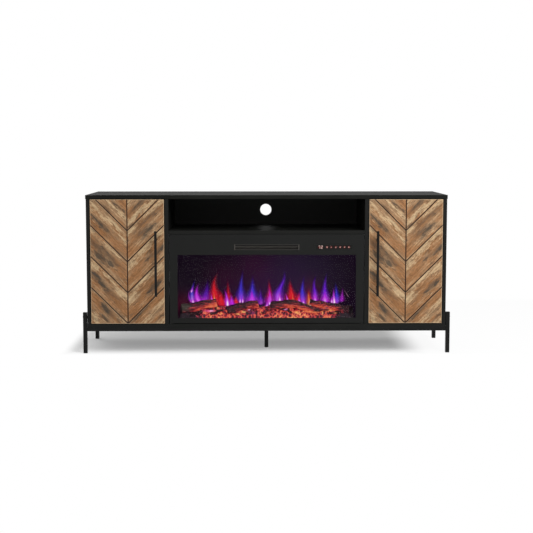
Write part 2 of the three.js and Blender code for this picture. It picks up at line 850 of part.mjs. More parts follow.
// Synchronous motor on the right wall, with a hub that holds the end of the spindle
function spindleMotor() {
  const can = rodX(motorRadius, [motorInner, chamberHalf - seat], spindleY, spindleZ, wideSides);
  const hubX = [motorInner - motorHubLength, motorInner + sheet];
  const hub = rodX(motorHubRadius, hubX, spindleY, spindleZ, barSides);
  const ear = block(
    [chamberHalf - seat - sheet, chamberHalf - seat],
    around(spindleY, 2 * motorHubRadius),
    around(spindleZ, motorEarLength),
  );
  const boreX = [motorInner - motorHubLength - overrun, motorInner - motorHubLength / 2 + runningGap];
  return cut(join(can, hub, ear), rodX(spindleRadius + runningGap, boreX, spindleY, spindleZ, rodSides));
}

// Circuit strip on the chamber floor with a row of lamps
function lampBoard(middle, half) {
  const top = chamberFloor + circuitThickness;
  const strip = block([-half, half], around(middle, lampBoardWidth), [chamberFloor, top]);
  const lamps = count(lampCount).map((index) => block(
    around((2 * half - 2 * lampMargin) * (index / (lampCount - 1) - 0.5), lampSize),
    around(middle, lampSize),
    [top - circuitThickness / 2, top + lampHeight],
  ));
  return join(strip, ...lamps);
}

// Height of the ember bed over the chamber floor, at a share of its depth: it rises to the back,
// with short lumps over long ones that fade out at its front and back edges
function bedHeight(x, share) {
  const wave = (2 * Math.PI * x) / bedBumpLength;
  const shortLumps = Math.sin(wave) * Math.cos(Math.PI * share + wave / 3);
  const longLumps = Math.sin(wave / 2 + 2 * Math.PI * share) / 2;
  const fade = Math.sin(Math.PI * share);
  const rise = Math.sin((Math.PI / 2) * share);
  return bedFrontHeight + bedRise * rise + bedBump * fade * (shortLumps + longLumps);
}

// Closed block with a flat underside and the uneven top
function bedSolid(lift) {
  const positions = [];
  const faces = [];
  const across = bedColumns + 1;
  for (const level of [0, 1]) {
    for (const row of count(bedRows + 1)) {
      for (const column of count(across)) {
        const share = row / bedRows;
        const x = bedWidth * (column / bedColumns - 0.5);
        const z = level ? bedHeight(x, share) + lift : bedUnderside;
        positions.push(x, shellFront + bedFront + bedDepth * share, chamberFloor + z);
      }
    }
  }
  const under = (row, column) => row * across + column;
  const over = (row, column) => under(row, column) + across * (bedRows + 1);
  const quad = (a, b, c, d) => faces.push(a, b, c, a, c, d);
  for (const row of count(bedRows)) {
    for (const column of count(bedColumns)) {
      quad(over(row, column), over(row, column + 1), over(row + 1, column + 1), over(row + 1, column));
      quad(under(row, column), under(row + 1, column), under(row + 1, column + 1), under(row, column + 1));
    }
    const end = bedColumns;
    quad(under(row, 0), over(row, 0), over(row + 1, 0), under(row + 1, 0));
    quad(under(row, end), under(row + 1, end), over(row + 1, end), over(row, end));
  }
  for (const column of count(bedColumns)) {
    const back = bedRows;
    quad(under(0, column), under(0, column + 1), over(0, column + 1), over(0, column));
    quad(under(back, column), over(back, column), over(back, column + 1), under(back, column + 1));
  }
  const geometry = new THREE.BufferGeometry();
  geometry.setAttribute('position', new THREE.Float32BufferAttribute(positions, 3));
  geometry.setIndex(faces);
  return solid(geometry);
}

function emberBed() {
  const feet = [-1, 1].map((side) => block(
    span(side * (bedWidth / 2), side * (bedWidth / 2 - bedFootWidth)),
    [shellFront + bedFront, shellFront + bedFront + bedDepth],
    [chamberFloor, chamberFloor + 2 * bedUnderside],
  ));
  return bedSolid(0).add(solid(feet[0])).add(solid(feet[1]));
}

// Logs on the bed. Places are shares of the bed's width from its middle, of its depth, and of its rise.
// The radius at each end, and how far the middle bows up, are shares of its rise.
const logShares = [
  { from: [-0.49, 0.38, 0.83], to: [-0.29, 0.62, 1.46], radii: [0.44, 0.4], bow: 0, knots: 3 },
  { from: [-0.23, 0.32, 0.6], to: [-0.05, 0.62, 1.3], radii: [0.42, 0.38], bow: 0.06, knots: 5 },
  { from: [0.02, 0.42, 1.05], to: [0.3, 0.3, 0.4], radii: [0.44, 0.34], bow: 0.58, knots: 4 },
  { from: [0.25, 0.74, 1.42], to: [0.475, 0.45, 0.62], radii: [0.3, 0.44], bow: 0, knots: 6 },
];

function logPlace([acrossShare, depthShare, riseShare]) {
  return new THREE.Vector3(
    bedWidth * acrossShare,
    shellFront + bedFront + bedDepth * depthShare,
    chamberFloor + bedFrontHeight + bedRise * riseShare,
  );
}

function log({ from, to, radii, bow, knots }) {
  const start = logPlace(from);
  const axis = logPlace(to).sub(start);
  const length = axis.length();
  const profile = [new THREE.Vector2(0, 0)];
  for (const ring of count(logRings + 1)) {
    const along = ring / logRings;
    profile.push(new THREE.Vector2(bedRise * THREE.MathUtils.lerp(...radii, along), length * along));
  }
  profile.push(new THREE.Vector2(0, length));
  const geometry = new THREE.LatheGeometry(profile, logSides);
  const positions = geometry.attributes.position;
  for (const index of count(positions.count)) {
    const x = positions.getX(index);
    const z = positions.getZ(index);
    const reach = Math.hypot(x, z);
    if (reach > 0) {
      const along = positions.getY(index) / length;
      const angle = Math.atan2(z, x);
      const knot = Math.sin(knots * Math.PI * along + 2 * Math.sin(angle)) * logKnot;
      const bark = Math.cos(5 * angle + knots * along) * logBark;
      const grown = (reach + knot + bark) / reach;
      positions.setX(index, x * grown);
      positions.setZ(index, z * grown);
    }
  }
  const turn = new THREE.Quaternion().setFromUnitVectors(new THREE.Vector3(0, 1, 0), axis.normalize());
  const heights = count(positions.count).map((index) => positions.getY(index));
  geometry.applyQuaternion(turn).translate(start.x, start.y, start.z);
  heights.forEach((height, index) => {
    positions.setZ(index, positions.getZ(index) + bedRise * bow * Math.sin((Math.PI * height) / length));
  });
  return solid(geometry).subtract(bedSolid(seat));
}

// The heater group stands on the firebox ceiling: its origin is on the ceiling at the shell's front
const wheelX = ductLength / 2 - wheelGap;

// Duct: a scroll round the blower wheel that narrows to the louvre, between two end plates
function heaterDuct() {
  const arc = wheelRise - ductFloor;
  const inner = new THREE.Shape();
  inner.moveTo(seat, ductFloor);
  inner.lineTo(wheelSetback, ductFloor);
  inner.absarc(wheelSetback, wheelRise, arc, -Math.PI / 2, Math.PI / 3);
  inner.absarc(wheelSetback, wheelRise, arc + sheet, Math.PI / 3, -Math.PI / 2, true);
  inner.lineTo(seat, ductFloor - sheet);
  inner.closePath();
  const tongueTop = ductFloor + ductMouth;
  const tongue = outlineOf([
    [seat, tongueTop],
    [ductTongueReach, tongueTop + ductTongueDrop],
    [ductTongueReach, tongueTop + ductTongueDrop + sheet],
    [seat, tongueTop + sheet],
  ]);
  const x = [-ductLength / 2, ductLength / 2];
  const scroll = alongX(inner, x, { curveSegments: scrollSteps });
  const plates = x.map((end) => block(
    span(end, end + Math.sign(end) * sheet),
    [seat, ductDepth],
    [seat, ductHeight],
  ));
  const overlaps = x.map((end) => block(
    span(end - Math.sign(end) * sheet / 2, end + Math.sign(end) * sheet / 2),
    [seat, ductDepth],
    [ductFloor - sheet, ductFloor],
  ));
  const bores = x.map((end) => rodX(
    shaftRadius + runningGap,
    span(end - Math.sign(end) * overrun, end + Math.sign(end) * overrun),
    wheelSetback,
    wheelRise,
    rodSides,
  ));
  return cut(join(scroll, alongX(tongue, x), ...plates, ...overlaps), ...bores);
}

// Tangential blower wheel: leaning blades between thin discs, on a shaft at each end
function blowerWheel() {
  const blades = count(wheelBlades).map((index) => {
    const depth = (wheelRadius - wheelInnerRadius) / 2;
    const middle = (wheelRadius + wheelInnerRadius) / 2 - bladeSheet / 2;
    const section = outlineOf([
      [-depth, -bladeSheet / 2],
      [0, -bladeSheet],
      [depth, -bladeSheet / 2],
      [depth, bladeSheet / 2],
      [0, 0],
      [-depth, bladeSheet / 2],
    ]);
    const blade = alongX(section, [-wheelX, wheelX]);
    return blade.rotateX(bladeLean).translate(0, middle, 0).rotateX((2 * Math.PI * index) / wheelBlades);
  });
  const discs = [-wheelX, 0, wheelX].map((x) => rodX(wheelRadius, around(x, wheelDisc), 0, 0, wideSides));
  const shafts = [-1, 1].map((side) => rodX(
    shaftRadius,
    span(side * (wheelX - wheelDisc / 4), side * (wheelX + wheelGap + shaftReach)),
    0,
    0,
    rodSides,
  ));
  return join(...discs, ...blades, ...shafts);
}

// Ceramic heater bar across the mouth of the duct, finned on the front
function heaterElement() {
  const half = ductLength / 2 - heaterMargin;
  const y = [heaterSetback, heaterSetback + heaterDepth];
  const z = [ductFloor + seat, ductFloor + seat + heaterHeight];
  const pitch = (2 * half) / heaterFins;
  const gaps = count(heaterFins).map((index) => block(
    around((index + 0.5) * pitch - half, pitch / 2),
    [y[0] - overrun, y[0] + heaterFinDepth],
    [z[0] + heaterFinDepth / 2, z[1] - heaterFinDepth / 2],
  ));
  return cut(solid(block([-half, half], y, z)), ...gaps);
}

function blowerMotor() {
  const plate = ductLength / 2 + sheet + seat;
  const canX = [plate, plate + blowerMotorLength];
  const can = rodX(blowerMotorRadius, canX, wheelSetback, wheelRise, roundSides);
  const boreX = [plate - overrun, ductLength / 2 + shaftReach + runningGap];
  return cut(solid(can), rodX(shaftRadius + runningGap, boreX, wheelSetback, wheelRise, rodSides));
}

function heater() {
  const group = new THREE.Group();
  group.position.set(0, shellFront, ceilingTop);
  group.add(piece('heater_duct', heaterDuct(), galvanised));
  group.add(piece('heater_element', heaterElement(), ceramic));
  group.add(piece('blower_wheel', blowerWheel(), galvanised, [0, wheelSetback, wheelRise]));
  group.add(piece('blower_motor', blowerMotor(), galvanised));
  return group;
}

function fireplace() {
  const group = new THREE.Group();
  group.position.set(0, trimSetback, boardTop + trimGap);
  group.add(piece('trim_frame', trimFrame(), blackTrim));
  group.add(piece('window_glass', windowGlass(), darkGlass));
  group.add(piece('vent_louvre', ventLouvre(), blackPlastic));
  group.add(piece('touch_panel', touchPanel(), blackPlastic));
  group.add(piece('control_board', controlBoard(), circuitGreen));
  group.add(piece('firebox_shell', fireboxShell(), blackMetal));
  group.add(piece('rear_cover', rearCover(), blackMetal));
  group.add(piece('cord_gland', cordGland(), blackPlastic));
  group.add(piece('left_mount_bracket', mountBracket(-1), galvanised));
  group.add(piece('right_mount_bracket', mountBracket(1), galvanised));
  group.add(piece('flame_screen', flameScreen(), screenPlastic));
  group.add(piece('flame_spindle', flameSpindle(), nickel, [0, spindleY, spindleZ]));
  group.add(piece('spindle_bearing', spindleBearing(), blackPlastic));
  group.add(piece('spindle_motor', spindleMotor(), galvanised));
  const emberLampHalf = bedWidth / 2 - bedFootWidth - lampEndGap;
  const emberLampY = shellFront + emberLampSetback;
  group.add(piece('flame_lamp_board', lampBoard(spindleY, chamberHalf - lampMargin), circuitGreen));
  group.add(piece('ember_lamp_board', lampBoard(emberLampY, emberLampHalf), circuitGreen));
  group.add(piece('ember_bed', emberBed(), emberResin));
  logShares.forEach((shares, index) => group.add(piece('log_' + (index + 1), log(shares), logResin)));
  group.add(heater());
  return group;
}

const stand = new THREE.Group();
stand.position.y = -(foremost + rearmost) / 2;
stand.add(bodyBoards(), legs(), fireplace());
for (const [label, side] of [['left', -1], ['right', 1]]) {
  stand.add(door(label, side), hingeArms(label, side));
}

export default stand;
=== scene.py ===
# Television stand with an electric fireplace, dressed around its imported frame
# Metres, Z up, the front looks along -Y
import math

import bmesh
import bpy
from mathutils import Matrix, Vector, noise


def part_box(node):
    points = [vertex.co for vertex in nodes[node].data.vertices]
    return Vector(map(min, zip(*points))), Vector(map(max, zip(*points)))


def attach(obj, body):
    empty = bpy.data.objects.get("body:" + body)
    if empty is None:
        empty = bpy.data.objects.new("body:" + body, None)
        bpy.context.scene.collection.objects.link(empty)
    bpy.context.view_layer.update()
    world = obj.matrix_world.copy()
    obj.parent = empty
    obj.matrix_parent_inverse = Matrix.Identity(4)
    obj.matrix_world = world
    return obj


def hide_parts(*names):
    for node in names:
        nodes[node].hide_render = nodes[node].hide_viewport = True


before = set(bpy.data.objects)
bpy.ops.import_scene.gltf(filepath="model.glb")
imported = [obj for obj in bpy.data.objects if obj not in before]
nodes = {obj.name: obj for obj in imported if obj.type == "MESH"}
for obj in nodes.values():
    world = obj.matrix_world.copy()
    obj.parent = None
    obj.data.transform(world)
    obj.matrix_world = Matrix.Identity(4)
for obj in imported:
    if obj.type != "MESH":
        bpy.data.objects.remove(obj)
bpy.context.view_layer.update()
mm = 0.001

# The camera stands a little left of the middle, five metres off and above the top board, and looks
# slightly down with a long lens, as the photograph was taken.
camera_place = Vector((-0.0626, -5.1124, 0.974))
camera_down = math.radians(5.204)
camera_turn = math.radians(-0.712)
camera_lens = 70.93
camera_shift = -0.0446
camera = bpy.data.objects.new("camera", bpy.data.cameras.new("camera"))
camera.data.lens = camera_lens
camera.data.sensor_width = 36
camera.data.shift_y = camera_shift
camera.matrix_world = (
    Matrix.Translation(camera_place)
    @ Matrix.Rotation(camera_turn, 4, "Z")
    @ Matrix.Rotation(math.pi / 2 - camera_down, 4, "X")
)
bpy.context.scene.collection.objects.link(camera)
bpy.context.scene.camera = camera
bpy.context.scene.view_settings.view_transform = "Standard"


# The studio is a white sky with a broad soft lamp in front, above and to the right, and a weak one
# behind on the left. What looks straight at the sky sees plain white, and its light on the object
# is softer than that.
class Field:
    """A value that varies over a surface. Fields add, subtract, multiply and divide as numbers do."""

    def __init__(self, finish, socket):
        self.finish = finish
        self.socket = socket

    def work(self, operation, *values):
        if self.socket.type == "VECTOR":
            return self.finish.vector(operation, *values)
        return self.finish.math(operation, *values)

    def __add__(self, other):
        return self.work("ADD", self, other)

    def __sub__(self, other):
        return self.work("SUBTRACT", self, other)

    def __rsub__(self, other):
        return self.work("SUBTRACT", other, self)

    def __mul__(self, other):
        return self.work("MULTIPLY", self, other)

    def __truediv__(self, other):
        return self.work("DIVIDE", self, other)


class Finish:
    """A surface and its shader nodes, joined by short calls."""

    def __init__(self, name, tree=None, **sockets):
        self.material = None
        if tree is None:
            self.material = bpy.data.materials.new(name)
            self.material.use_nodes = True
            tree = self.material.node_tree
        self.tree = tree
        self.shader = tree.nodes.get("Principled BSDF")
        for socket, value in sockets.items():
            self.set(socket.replace("_", " "), value)

    def join(self, socket, value):
        source = value.socket if isinstance(value, Field) else value
        if isinstance(source, bpy.types.NodeSocket):
            self.tree.links.new(source, socket)
        elif hasattr(value, "__len__") and len(value) == 3 and len(socket.default_value) == 4:
            socket.default_value = (*value, 1)
        else:
            socket.default_value = value

    def set(self, socket, value):
        self.join(self.shader.inputs[socket], value)

    def node(self, kind, inputs=(), **settings):
        made = self.tree.nodes.new(kind)
        for key, value in settings.items():
            setattr(made, key, value)
        for key, value in inputs:
            self.join(made.inputs[key], value)
        return made

    def field(self, kind, inputs=(), output=0, **settings):
        return Field(self, self.node(kind, inputs, **settings).outputs[output])

    def math(self, operation, *values):
        return self.field("ShaderNodeMath", enumerate(values), operation=operation)

    def vector(self, operation, *values):
        output = "Value" if operation in ("DOT_PRODUCT", "LENGTH") else "Vector"
        return self.field("ShaderNodeVectorMath", enumerate(values), output, operation=operation)

    def place(self):
        return self.field("ShaderNodeTexCoord", output="Object")

    def split(self, vector):
        return [Field(self, part) for part in self.node("ShaderNodeSeparateXYZ", [(0, vector)]).outputs]

    def compose(self, x, y, z):
        return self.field("ShaderNodeCombineXYZ", enumerate((x, y, z)))

    def attribute(self, name, output="Fac"):
        return self.field("ShaderNodeAttribute", output=output, attribute_name=name)

    def noise(self, vector, scale, detail=3, roughness=0.5, distortion=0):
        names = ("Vector", "Scale", "Detail", "Roughness", "Distortion")
        values = (vector, scale, detail, roughness, distortion)
        return self.field("ShaderNodeTexNoise", zip(names, values))

    def grain(self, stretch, *settings):
        """Noise over the place on the object, finer along an axis the more it is stretched there."""
        if hasattr(stretch, "__len__"):
            return self.noise(self.place() * stretch, 1, *settings)
        return self.noise(self.place(), stretch, *settings)

    def cells(self, vector, scale):
        return self.field("ShaderNodeTexVoronoi", [("Vector", vector), ("Scale", scale)], "Distance")

    def ramp(self, value, low, high, start=0, end=1):
        inputs = enumerate((value, low, high, start, end))
        return self.field("ShaderNodeMapRange", inputs, interpolation_type="SMOOTHSTEP")

    def mix(self, share, first, second, blend_type="MIX"):
        inputs = [(0, share), (6, first), (7, second)]
        return self.field("ShaderNodeMix", inputs, 2, data_type="RGBA", blend_type=blend_type)

    def veil(self, colour, tone, value, low, high, cover=1):
        """The colour under a tone that covers more of it as the value goes from low to high."""
        return self.mix(self.ramp(value, low, high, 0, cover), colour, tone)

    def largest(self, first, *others):
        for other in others:
            first = self.math("MAXIMUM", first, other)
        return first

    def bell(self, offset):
        """1 where the offset is nothing, and less the longer it is."""
        return self.math("EXPONENT", self.vector("DOT_PRODUCT", offset, offset) * -1)

    def tint(self, share, first, second):
        self.set("Base Color", self.mix(share, first, second))

    def roughen(self, value, smooth, rough):
        self.set("Roughness", self.ramp(value, 0.3, 0.7, smooth, rough))

    def bump(self, height, distance):
        self.set("Normal", self.field("ShaderNodeBump", [("Height", height), ("Distance", distance)]))


def seen_directly(finish):
    """1 for what the camera, a reflection or clear glass sees, and 0 for light on the object."""
    rays = ("Is Camera Ray", "Is Glossy Ray", "Is Transmission Ray")
    return finish.largest(*(finish.field("ShaderNodeLightPath", output=ray) for ray in rays))


sky_light = 0.62
lamp_place = Vector((1.75, -2.6, 3.0))
lamp_target = Vector((0, 0, 0.25))
lamp_size = 1.9
lamp_power = 112
fill_place = Vector((-2.6, 2.4, 2.4))
fill_power = 20
world = bpy.data.worlds.new("studio")
world.use_nodes = True
bpy.context.scene.world = world
sky = Finish("sky", world.node_tree)
background = world.node_tree.nodes["Background"]
sky.join(background.inputs["Color"], (1, 1, 1))
sky.join(background.inputs["Strength"], sky.ramp(seen_directly(sky), 0, 1, sky_light, 1))


def lamp(name, place, power, size):
    light = bpy.data.lights.new(name, "AREA")
    light.energy = power
    light.size = size
    made = bpy.data.objects.new(name, light)
    made.location = place
    made.rotation_mode = "QUATERNION"
    made.rotation_quaternion = (lamp_target - place).to_track_quat("-Z", "Y")
    bpy.context.scene.collection.objects.link(made)


lamp("front_lamp", lamp_place, lamp_power, lamp_size)
lamp("back_lamp", fill_place, fill_power, lamp_size)

# The floor is a pale matt sheet that takes the soft shadow of the stand. What the camera,
# reflections and glass see of it is lifted with painted light, more towards the front than at the
# back, and fully past set edges round the stand, so that the painted edges of the shadow run out
# into the white of the sky.
floor_reach = 30
floor_colour = (0.9, 0.9, 0.9)
floor_painted_light_front = 0.3
floor_painted_light_back = 0.03
lift_front = -0.1
lift_back = 0.38
shadow_left = -0.905
shadow_left_fade = 0.08
shadow_right = 0.605
shadow_right_fade = 0.18
shadow_right_white = 0.9
shadow_front = -0.12
shadow_front_fade = 0.12
shadow_back = 0.75
shadow_back_fade = 0.9
floor_mesh = bpy.data.meshes.new("floor")
floor_corners = [(x * floor_reach, y * floor_reach, 0) for x, y in ((-1, -1), (1, -1), (1, 1), (-1, 1))]
floor_mesh.from_pydata(floor_corners, [], [(0, 1, 2, 3)])
floor = bpy.data.objects.new("floor", floor_mesh)
bpy.context.scene.collection.objects.link(floor)
paper = Finish("studio_floor", Base_Color=floor_colour, Roughness=0.9, Specular_IOR_Level=0)
paper_x, paper_y, _ = paper.split(paper.place())
past_left = paper.ramp(paper_x, shadow_left, shadow_left - shadow_left_fade)
past_right = paper.ramp(paper_x, shadow_right, shadow_right + shadow_right_fade, 0, shadow_right_white)
past_front = paper.ramp(paper_y, shadow_front, shadow_front - shadow_front_fade)
past_back = paper.ramp(paper_y, shadow_back, shadow_back + shadow_back_fade)
past = paper.largest(past_left, past_right, past_front, past_back)
# Painted light: the floor is lifted towards white, more in front, and fully past the shadow's edges
painted_floor_light = paper.ramp(paper_y, lift_front, lift_back, floor_painted_light_front, floor_painted_light_back)
painted_floor_light = (painted_floor_light + past * (1 - painted_floor_light)) * seen_directly(paper)
paper_glow = paper.node("ShaderNodeEmission", [("Color", (1, 1, 1)), ("Strength", 1)])
paper_mix = paper.node(
    "ShaderNodeMixShader", [(0, painted_floor_light), (1, paper.shader.outputs[0]), (2, paper_glow.outputs[0])]
)
paper.tree.links.new(paper_mix.outputs[0], paper.tree.nodes["Material Output"].inputs["Surface"])
floor_mesh.materials.append(paper.material)


# The boards are particle board faced with black laminate that is pressed with a fine grain along
# each board. Their edges are banded in the same black and broken a little by the trimmer.
def dress(names, finish, edge=0.0):
    """Gives CAD pieces their finish and, where edge isn't zero, small rounded edges."""
    for name in names:
        piece = nodes[name]
        piece.data.materials.clear()
        piece.data.materials.append(finish.material)
        if edge:
            piece.modifiers.new("weld", "WELD").merge_threshold = mm / 100
            rounded = piece.modifiers.new("rounded", "BEVEL")
            rounded.width = edge
            rounded.segments = 2
            rounded.limit_method = "ANGLE"
            rounded.angle_limit = math.radians(35)
            rounded.harden_normals = True


board_edge = 0.6 * mm
laminate_colour = (0.0052, 0.0054, 0.0048)
laminate_pale = (0.0082, 0.0084, 0.0075)
grain_pitch = 420
grain_stretch = 22
grain_depth = 0.08 * mm


def laminate(name, along, gloss, painted_sheen_paleness=1):
    """Black laminate with its grain along one axis: 0 for X, 1 for Y and 2 for Z."""
    finish = Finish(name, Specular_IOR_Level=gloss)
    stretch = [grain_pitch] * 3
    stretch[along] = grain_pitch / grain_stretch
    streaks = finish.grain(stretch, 4, 0.6)
    clouds = finish.grain(5, 2)
    tone = (streaks + clouds) * 0.5
    dark, pale = ([value * painted_sheen_paleness for value in colour] for colour in (laminate_colour, laminate_pale))
    finish.tint(finish.ramp(tone, 0.3, 0.7), dark, pale)
    finish.set("Roughness", finish.ramp(streaks, 0.2, 0.8, 0.44, 0.58))
    finish.bump(finish.ramp(streaks, 0.35, 0.6), grain_depth)
    return finish


# The top board's laminate is drawn paler and less glossy than the other boards: painted sheen
laminate_top_painted_sheen = laminate("black_laminate_top", 0, 0.02, 1.6)
laminate_across = laminate("black_laminate_across", 0, 0.12)
laminate_upright = laminate("black_laminate_upright", 2, 0.12)
across_boards = ["bottom_board", "centre_shelf", "rear_stretcher"]
across_boards += ["left_cupboard_shelf", "right_cupboard_shelf"]
upright_boards = ["left_side_panel", "right_side_panel", "left_divider", "right_divider"]
dress(["top_board"], laminate_top_painted_sheen, board_edge)
dress(across_boards, laminate_across, board_edge)
dress(upright_boards, laminate_upright, board_edge)

# The back panels are thin hardboard, black on the inside and brown fibre on the outside. They lie
# in the rebates of the boards and are nailed along their edges.
panel_paper = (0.022, 0.022, 0.021)
panel_fibre = (0.052, 0.034, 0.022)
panel_fleck = (0.085, 0.056, 0.036)
panel_skin = 0.5 * mm
fine_depth = 0.05 * mm
hardboard = Finish("hardboard", Roughness=0.75, Specular_IOR_Level=0.15)
fibres = hardboard.grain(900, 3, 0.7)
blotches = hardboard.grain(9, 3)
fibre_share = hardboard.ramp((fibres + blotches) * 0.5, 0.35, 0.65)
outer_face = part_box("centre_back_panel")[1].y - panel_skin
outer_side = hardboard.math("GREATER_THAN", hardboard.split(hardboard.place())[1], outer_face)
hardboard.tint(outer_side, panel_paper, hardboard.mix(fibre_share, panel_fibre, panel_fleck))
hardboard.bump(fibres, fine_depth)
dress(["left_back_panel", "centre_back_panel", "right_back_panel"], hardboard)


# Each back panel is held by small flat-headed nails of drawn steel. They are driven in along its
# edges, a hand's breadth apart.
def turned(outline, sides):
    """Points and faces of a form turned round Z, from the (radius, height) points of its outline."""
    points = []
    faces = []
    rings = []
    for radius, height in outline:
        if radius == 0:
            rings.append([len(points)])
            points.append(Vector((0, 0, height)))
            continue
        rings.append(range(len(points), len(points) + sides))
        for step in range(sides):
            angle = 2 * math.pi * step / sides
            points.append(Vector((radius * math.cos(angle), radius * math.sin(angle), height)))
    for lower, upper in zip(rings, rings[1:]):
        for step in range(sides):
            corners = [lower[number % len(lower)] for number in (step, step + 1)]
            corners += [upper[number % len(upper)] for number in (step + 1, step)]
            faces.append(tuple(dict.fromkeys(corners)))
    return points, faces


def build(name, forms, finish, body, replaced=(), smooth=35):
    """One object of several forms. A form is (points, faces, matrix)."""
    points = []
    faces = []
    for form_points, form_faces, matrix in forms:
        start = len(points)
        points += [matrix @ point for point in form_points]
        faces += [tuple(start + corner for corner in face) for face in form_faces]
    mesh = bpy.data.meshes.new(name)
    mesh.from_pydata(points, [], faces)
    mesh.validate()
    mesh.materials.append(finish.material)
    piece = bpy.data.objects.new(name, mesh)
    bpy.context.scene.collection.objects.link(piece)
    shape = bmesh.new()
    shape.from_mesh(mesh)
    bmesh.ops.recalc_face_normals(shape, faces=shape.faces)
    shape.to_mesh(mesh)
    shape.free()
    mesh.polygons.foreach_set("use_smooth", [True] * len(mesh.polygons))
    mesh.set_sharp_from_angle(angle=math.radians(smooth))
    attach(piece, body)
    if replaced:
        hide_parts(*replaced)
    return piece


def facing(place, direction):
    """The matrix that puts a form turned round Z at a place, with its top along a direction."""
    return Matrix.Translation(place) @ Vector(direction).to_track_quat("Z", "Y").to_matrix().to_4x4()


def edge_places(low, high, inset, columns, rows):
    """Places at even steps round the edge of an upright panel, as (x, z)."""
    places = []
    for column in range(columns + 1):
        for row in range(rows + 1):
            if column in (0, columns) or row in (0, rows):
                x = low.x + inset + (high.x - low.x - 2 * inset) * column / columns
                z = low.z + inset + (high.z - low.z - 2 * inset) * row / rows
                places.append((x, z))
    return places


nail_radius = 2.2 * mm
nail_flat = 0.7 * nail_radius
nail_height = 0.5 * mm
nail_rim = 0.4 * nail_height
nail_pitch = 0.095
nail_inset = 6 * mm
steel = Finish("plain_steel", Metallic=1, Roughness=0.42)
steel.tint(steel.ramp(steel.grain(700, 2), 0.3, 0.7), (0.3, 0.3, 0.31), (0.46, 0.46, 0.47))
nail = [(0, -nail_height), (nail_radius, -nail_height), (nail_radius, nail_rim)]
nail += [(nail_flat, nail_height), (0, nail_height)]
nail_form = turned(nail, 12)
nails = []
for label in ("left", "centre", "right"):
    low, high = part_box(label + "_back_panel")
    columns = max(2, round((high.x - low.x) / nail_pitch))
    rows = max(2, round((high.z - low.z) / nail_pitch))
    for x, z in edge_places(low, high, nail_inset, columns, rows):
        nails.append((*nail_form, facing((x, high.y, z), (0, 1, 0))))
build("back_panel_nails", nails, steel, "cabinet")

# The leg frame is square steel tube, welded at its corners and powder coated black. It is screwed to
# the side panels, and each leg ends in a plastic cap.
coat_colour = (0.0045, 0.0046, 0.0043)
coat_pale = (0.0072, 0.0073, 0.0069)
powder_depth = 0.06 * mm
tube_edge = 1.4 * mm
powder = Finish("black_powder_coat", Specular_IOR_Level=0.13)
powder_grain = powder.grain(1500, 2)
powder.tint(powder.ramp(powder.grain(12, 2), 0.3, 0.7), coat_colour, coat_pale)
powder.roughen(powder_grain, 0.36, 0.5)
powder.bump(powder_grain, powder_depth)
dress(["left_leg_frame", "right_leg_frame", "front_rail", "back_rail"], powder, tube_edge)


def coated(name, gloss, tones, clouds, grain, roughness):
    """A plain coat: two close tones in clouds under a fine grain, which are both (scale, detail)."""
    finish = Finish(name, Specular_IOR_Level=gloss)
    fine = finish.grain(*grain)
    finish.tint(finish.grain(*clouds), *tones)
    finish.roughen(fine, *roughness)
    finish.bump(fine, fine_depth)
    return finish


plastic_tones = ((0.006, 0.006, 0.006), (0.012, 0.012, 0.012))
plastic = coated("black_plastic", 0.3, plastic_tones, (900, 3), (900, 3), (0.5, 0.65))
leg_caps = [row + "_" + side + "_leg_cap" for row in ("front", "back") for side in ("left", "right")]
dress(leg_caps, plastic, tube_edge)

# Weld beads run round the side rail where it meets each leg. They are small rippled fillets, coated
# with the tube.
bead_radius = 1.5 * mm
bead_count = 11
bead_outline_shares = [(0, -1), (0.8, -0.6), (1, 0), (0.8, 0.6), (0, 1)]
bead_form = turned(bead_outline_shares, 8)
rail_low, rail_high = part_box("front_rail")
tube = rail_high.z - rail_low.z
beads = []
for side in ("left", "right"):
    low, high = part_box(side + "_leg_frame")
    outer = low.x if side == "left" else high.x - tube
    for y in (low.y + tube, high.y - tube):
        for index in range(bead_count):
            along = tube * (index + 0.5) / bead_count
            for across, rise in ((along, 0), (along, tube), (0, along), (tube, along)):
                place = Matrix.Translation((outer + across, y, rail_low.z + rise))
                beads.append((*bead_form, place @ Matrix.Scale(bead_radius, 4)))
build("leg_weld_beads", beads, powder, "cabinet", smooth=80)

# The centre foot is a short round steel leg under the middle of the bottom board. Its screw plate is
# welded on, and a round plastic cap closes its lower end.
foot_low, foot_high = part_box("centre_foot")
cap_low, cap_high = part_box("centre_foot_cap")
foot_radius = (cap_high.x - cap_low.x) / 2
foot_middle = (foot_low + foot_high) / 2
foot_cap_height = 6 * mm
foot_plate = 3 * mm
foot_fillet = 2 * mm
foot_bevel = 0.6 * mm
foot_sides = 48
tube_top = foot_high.z - foot_plate
foot_axis = Matrix.Translation((foot_middle.x, foot_middle.y, 0))
plate_half = (foot_high.x - foot_low.x) / 2


def round_bar(radius, low, high, bevel):
    """The outline of a round bar along Z with bevelled ends."""
    lower = [(0, low), (radius - bevel, low), (radius, low + bevel)]
    return lower + [(radius, high - bevel), (radius - bevel, high), (0, high)]


def ring_faces(count, across):
    """Faces that join closed rings of points, one after the other, with as many points in each."""
    faces = []
    for start in range(0, (count - 1) * across, across):
        for step in range(across):
            after = (step + 1) % across
            faces.append((start + step, start + after, start + across + after, start + across + step))
    return faces


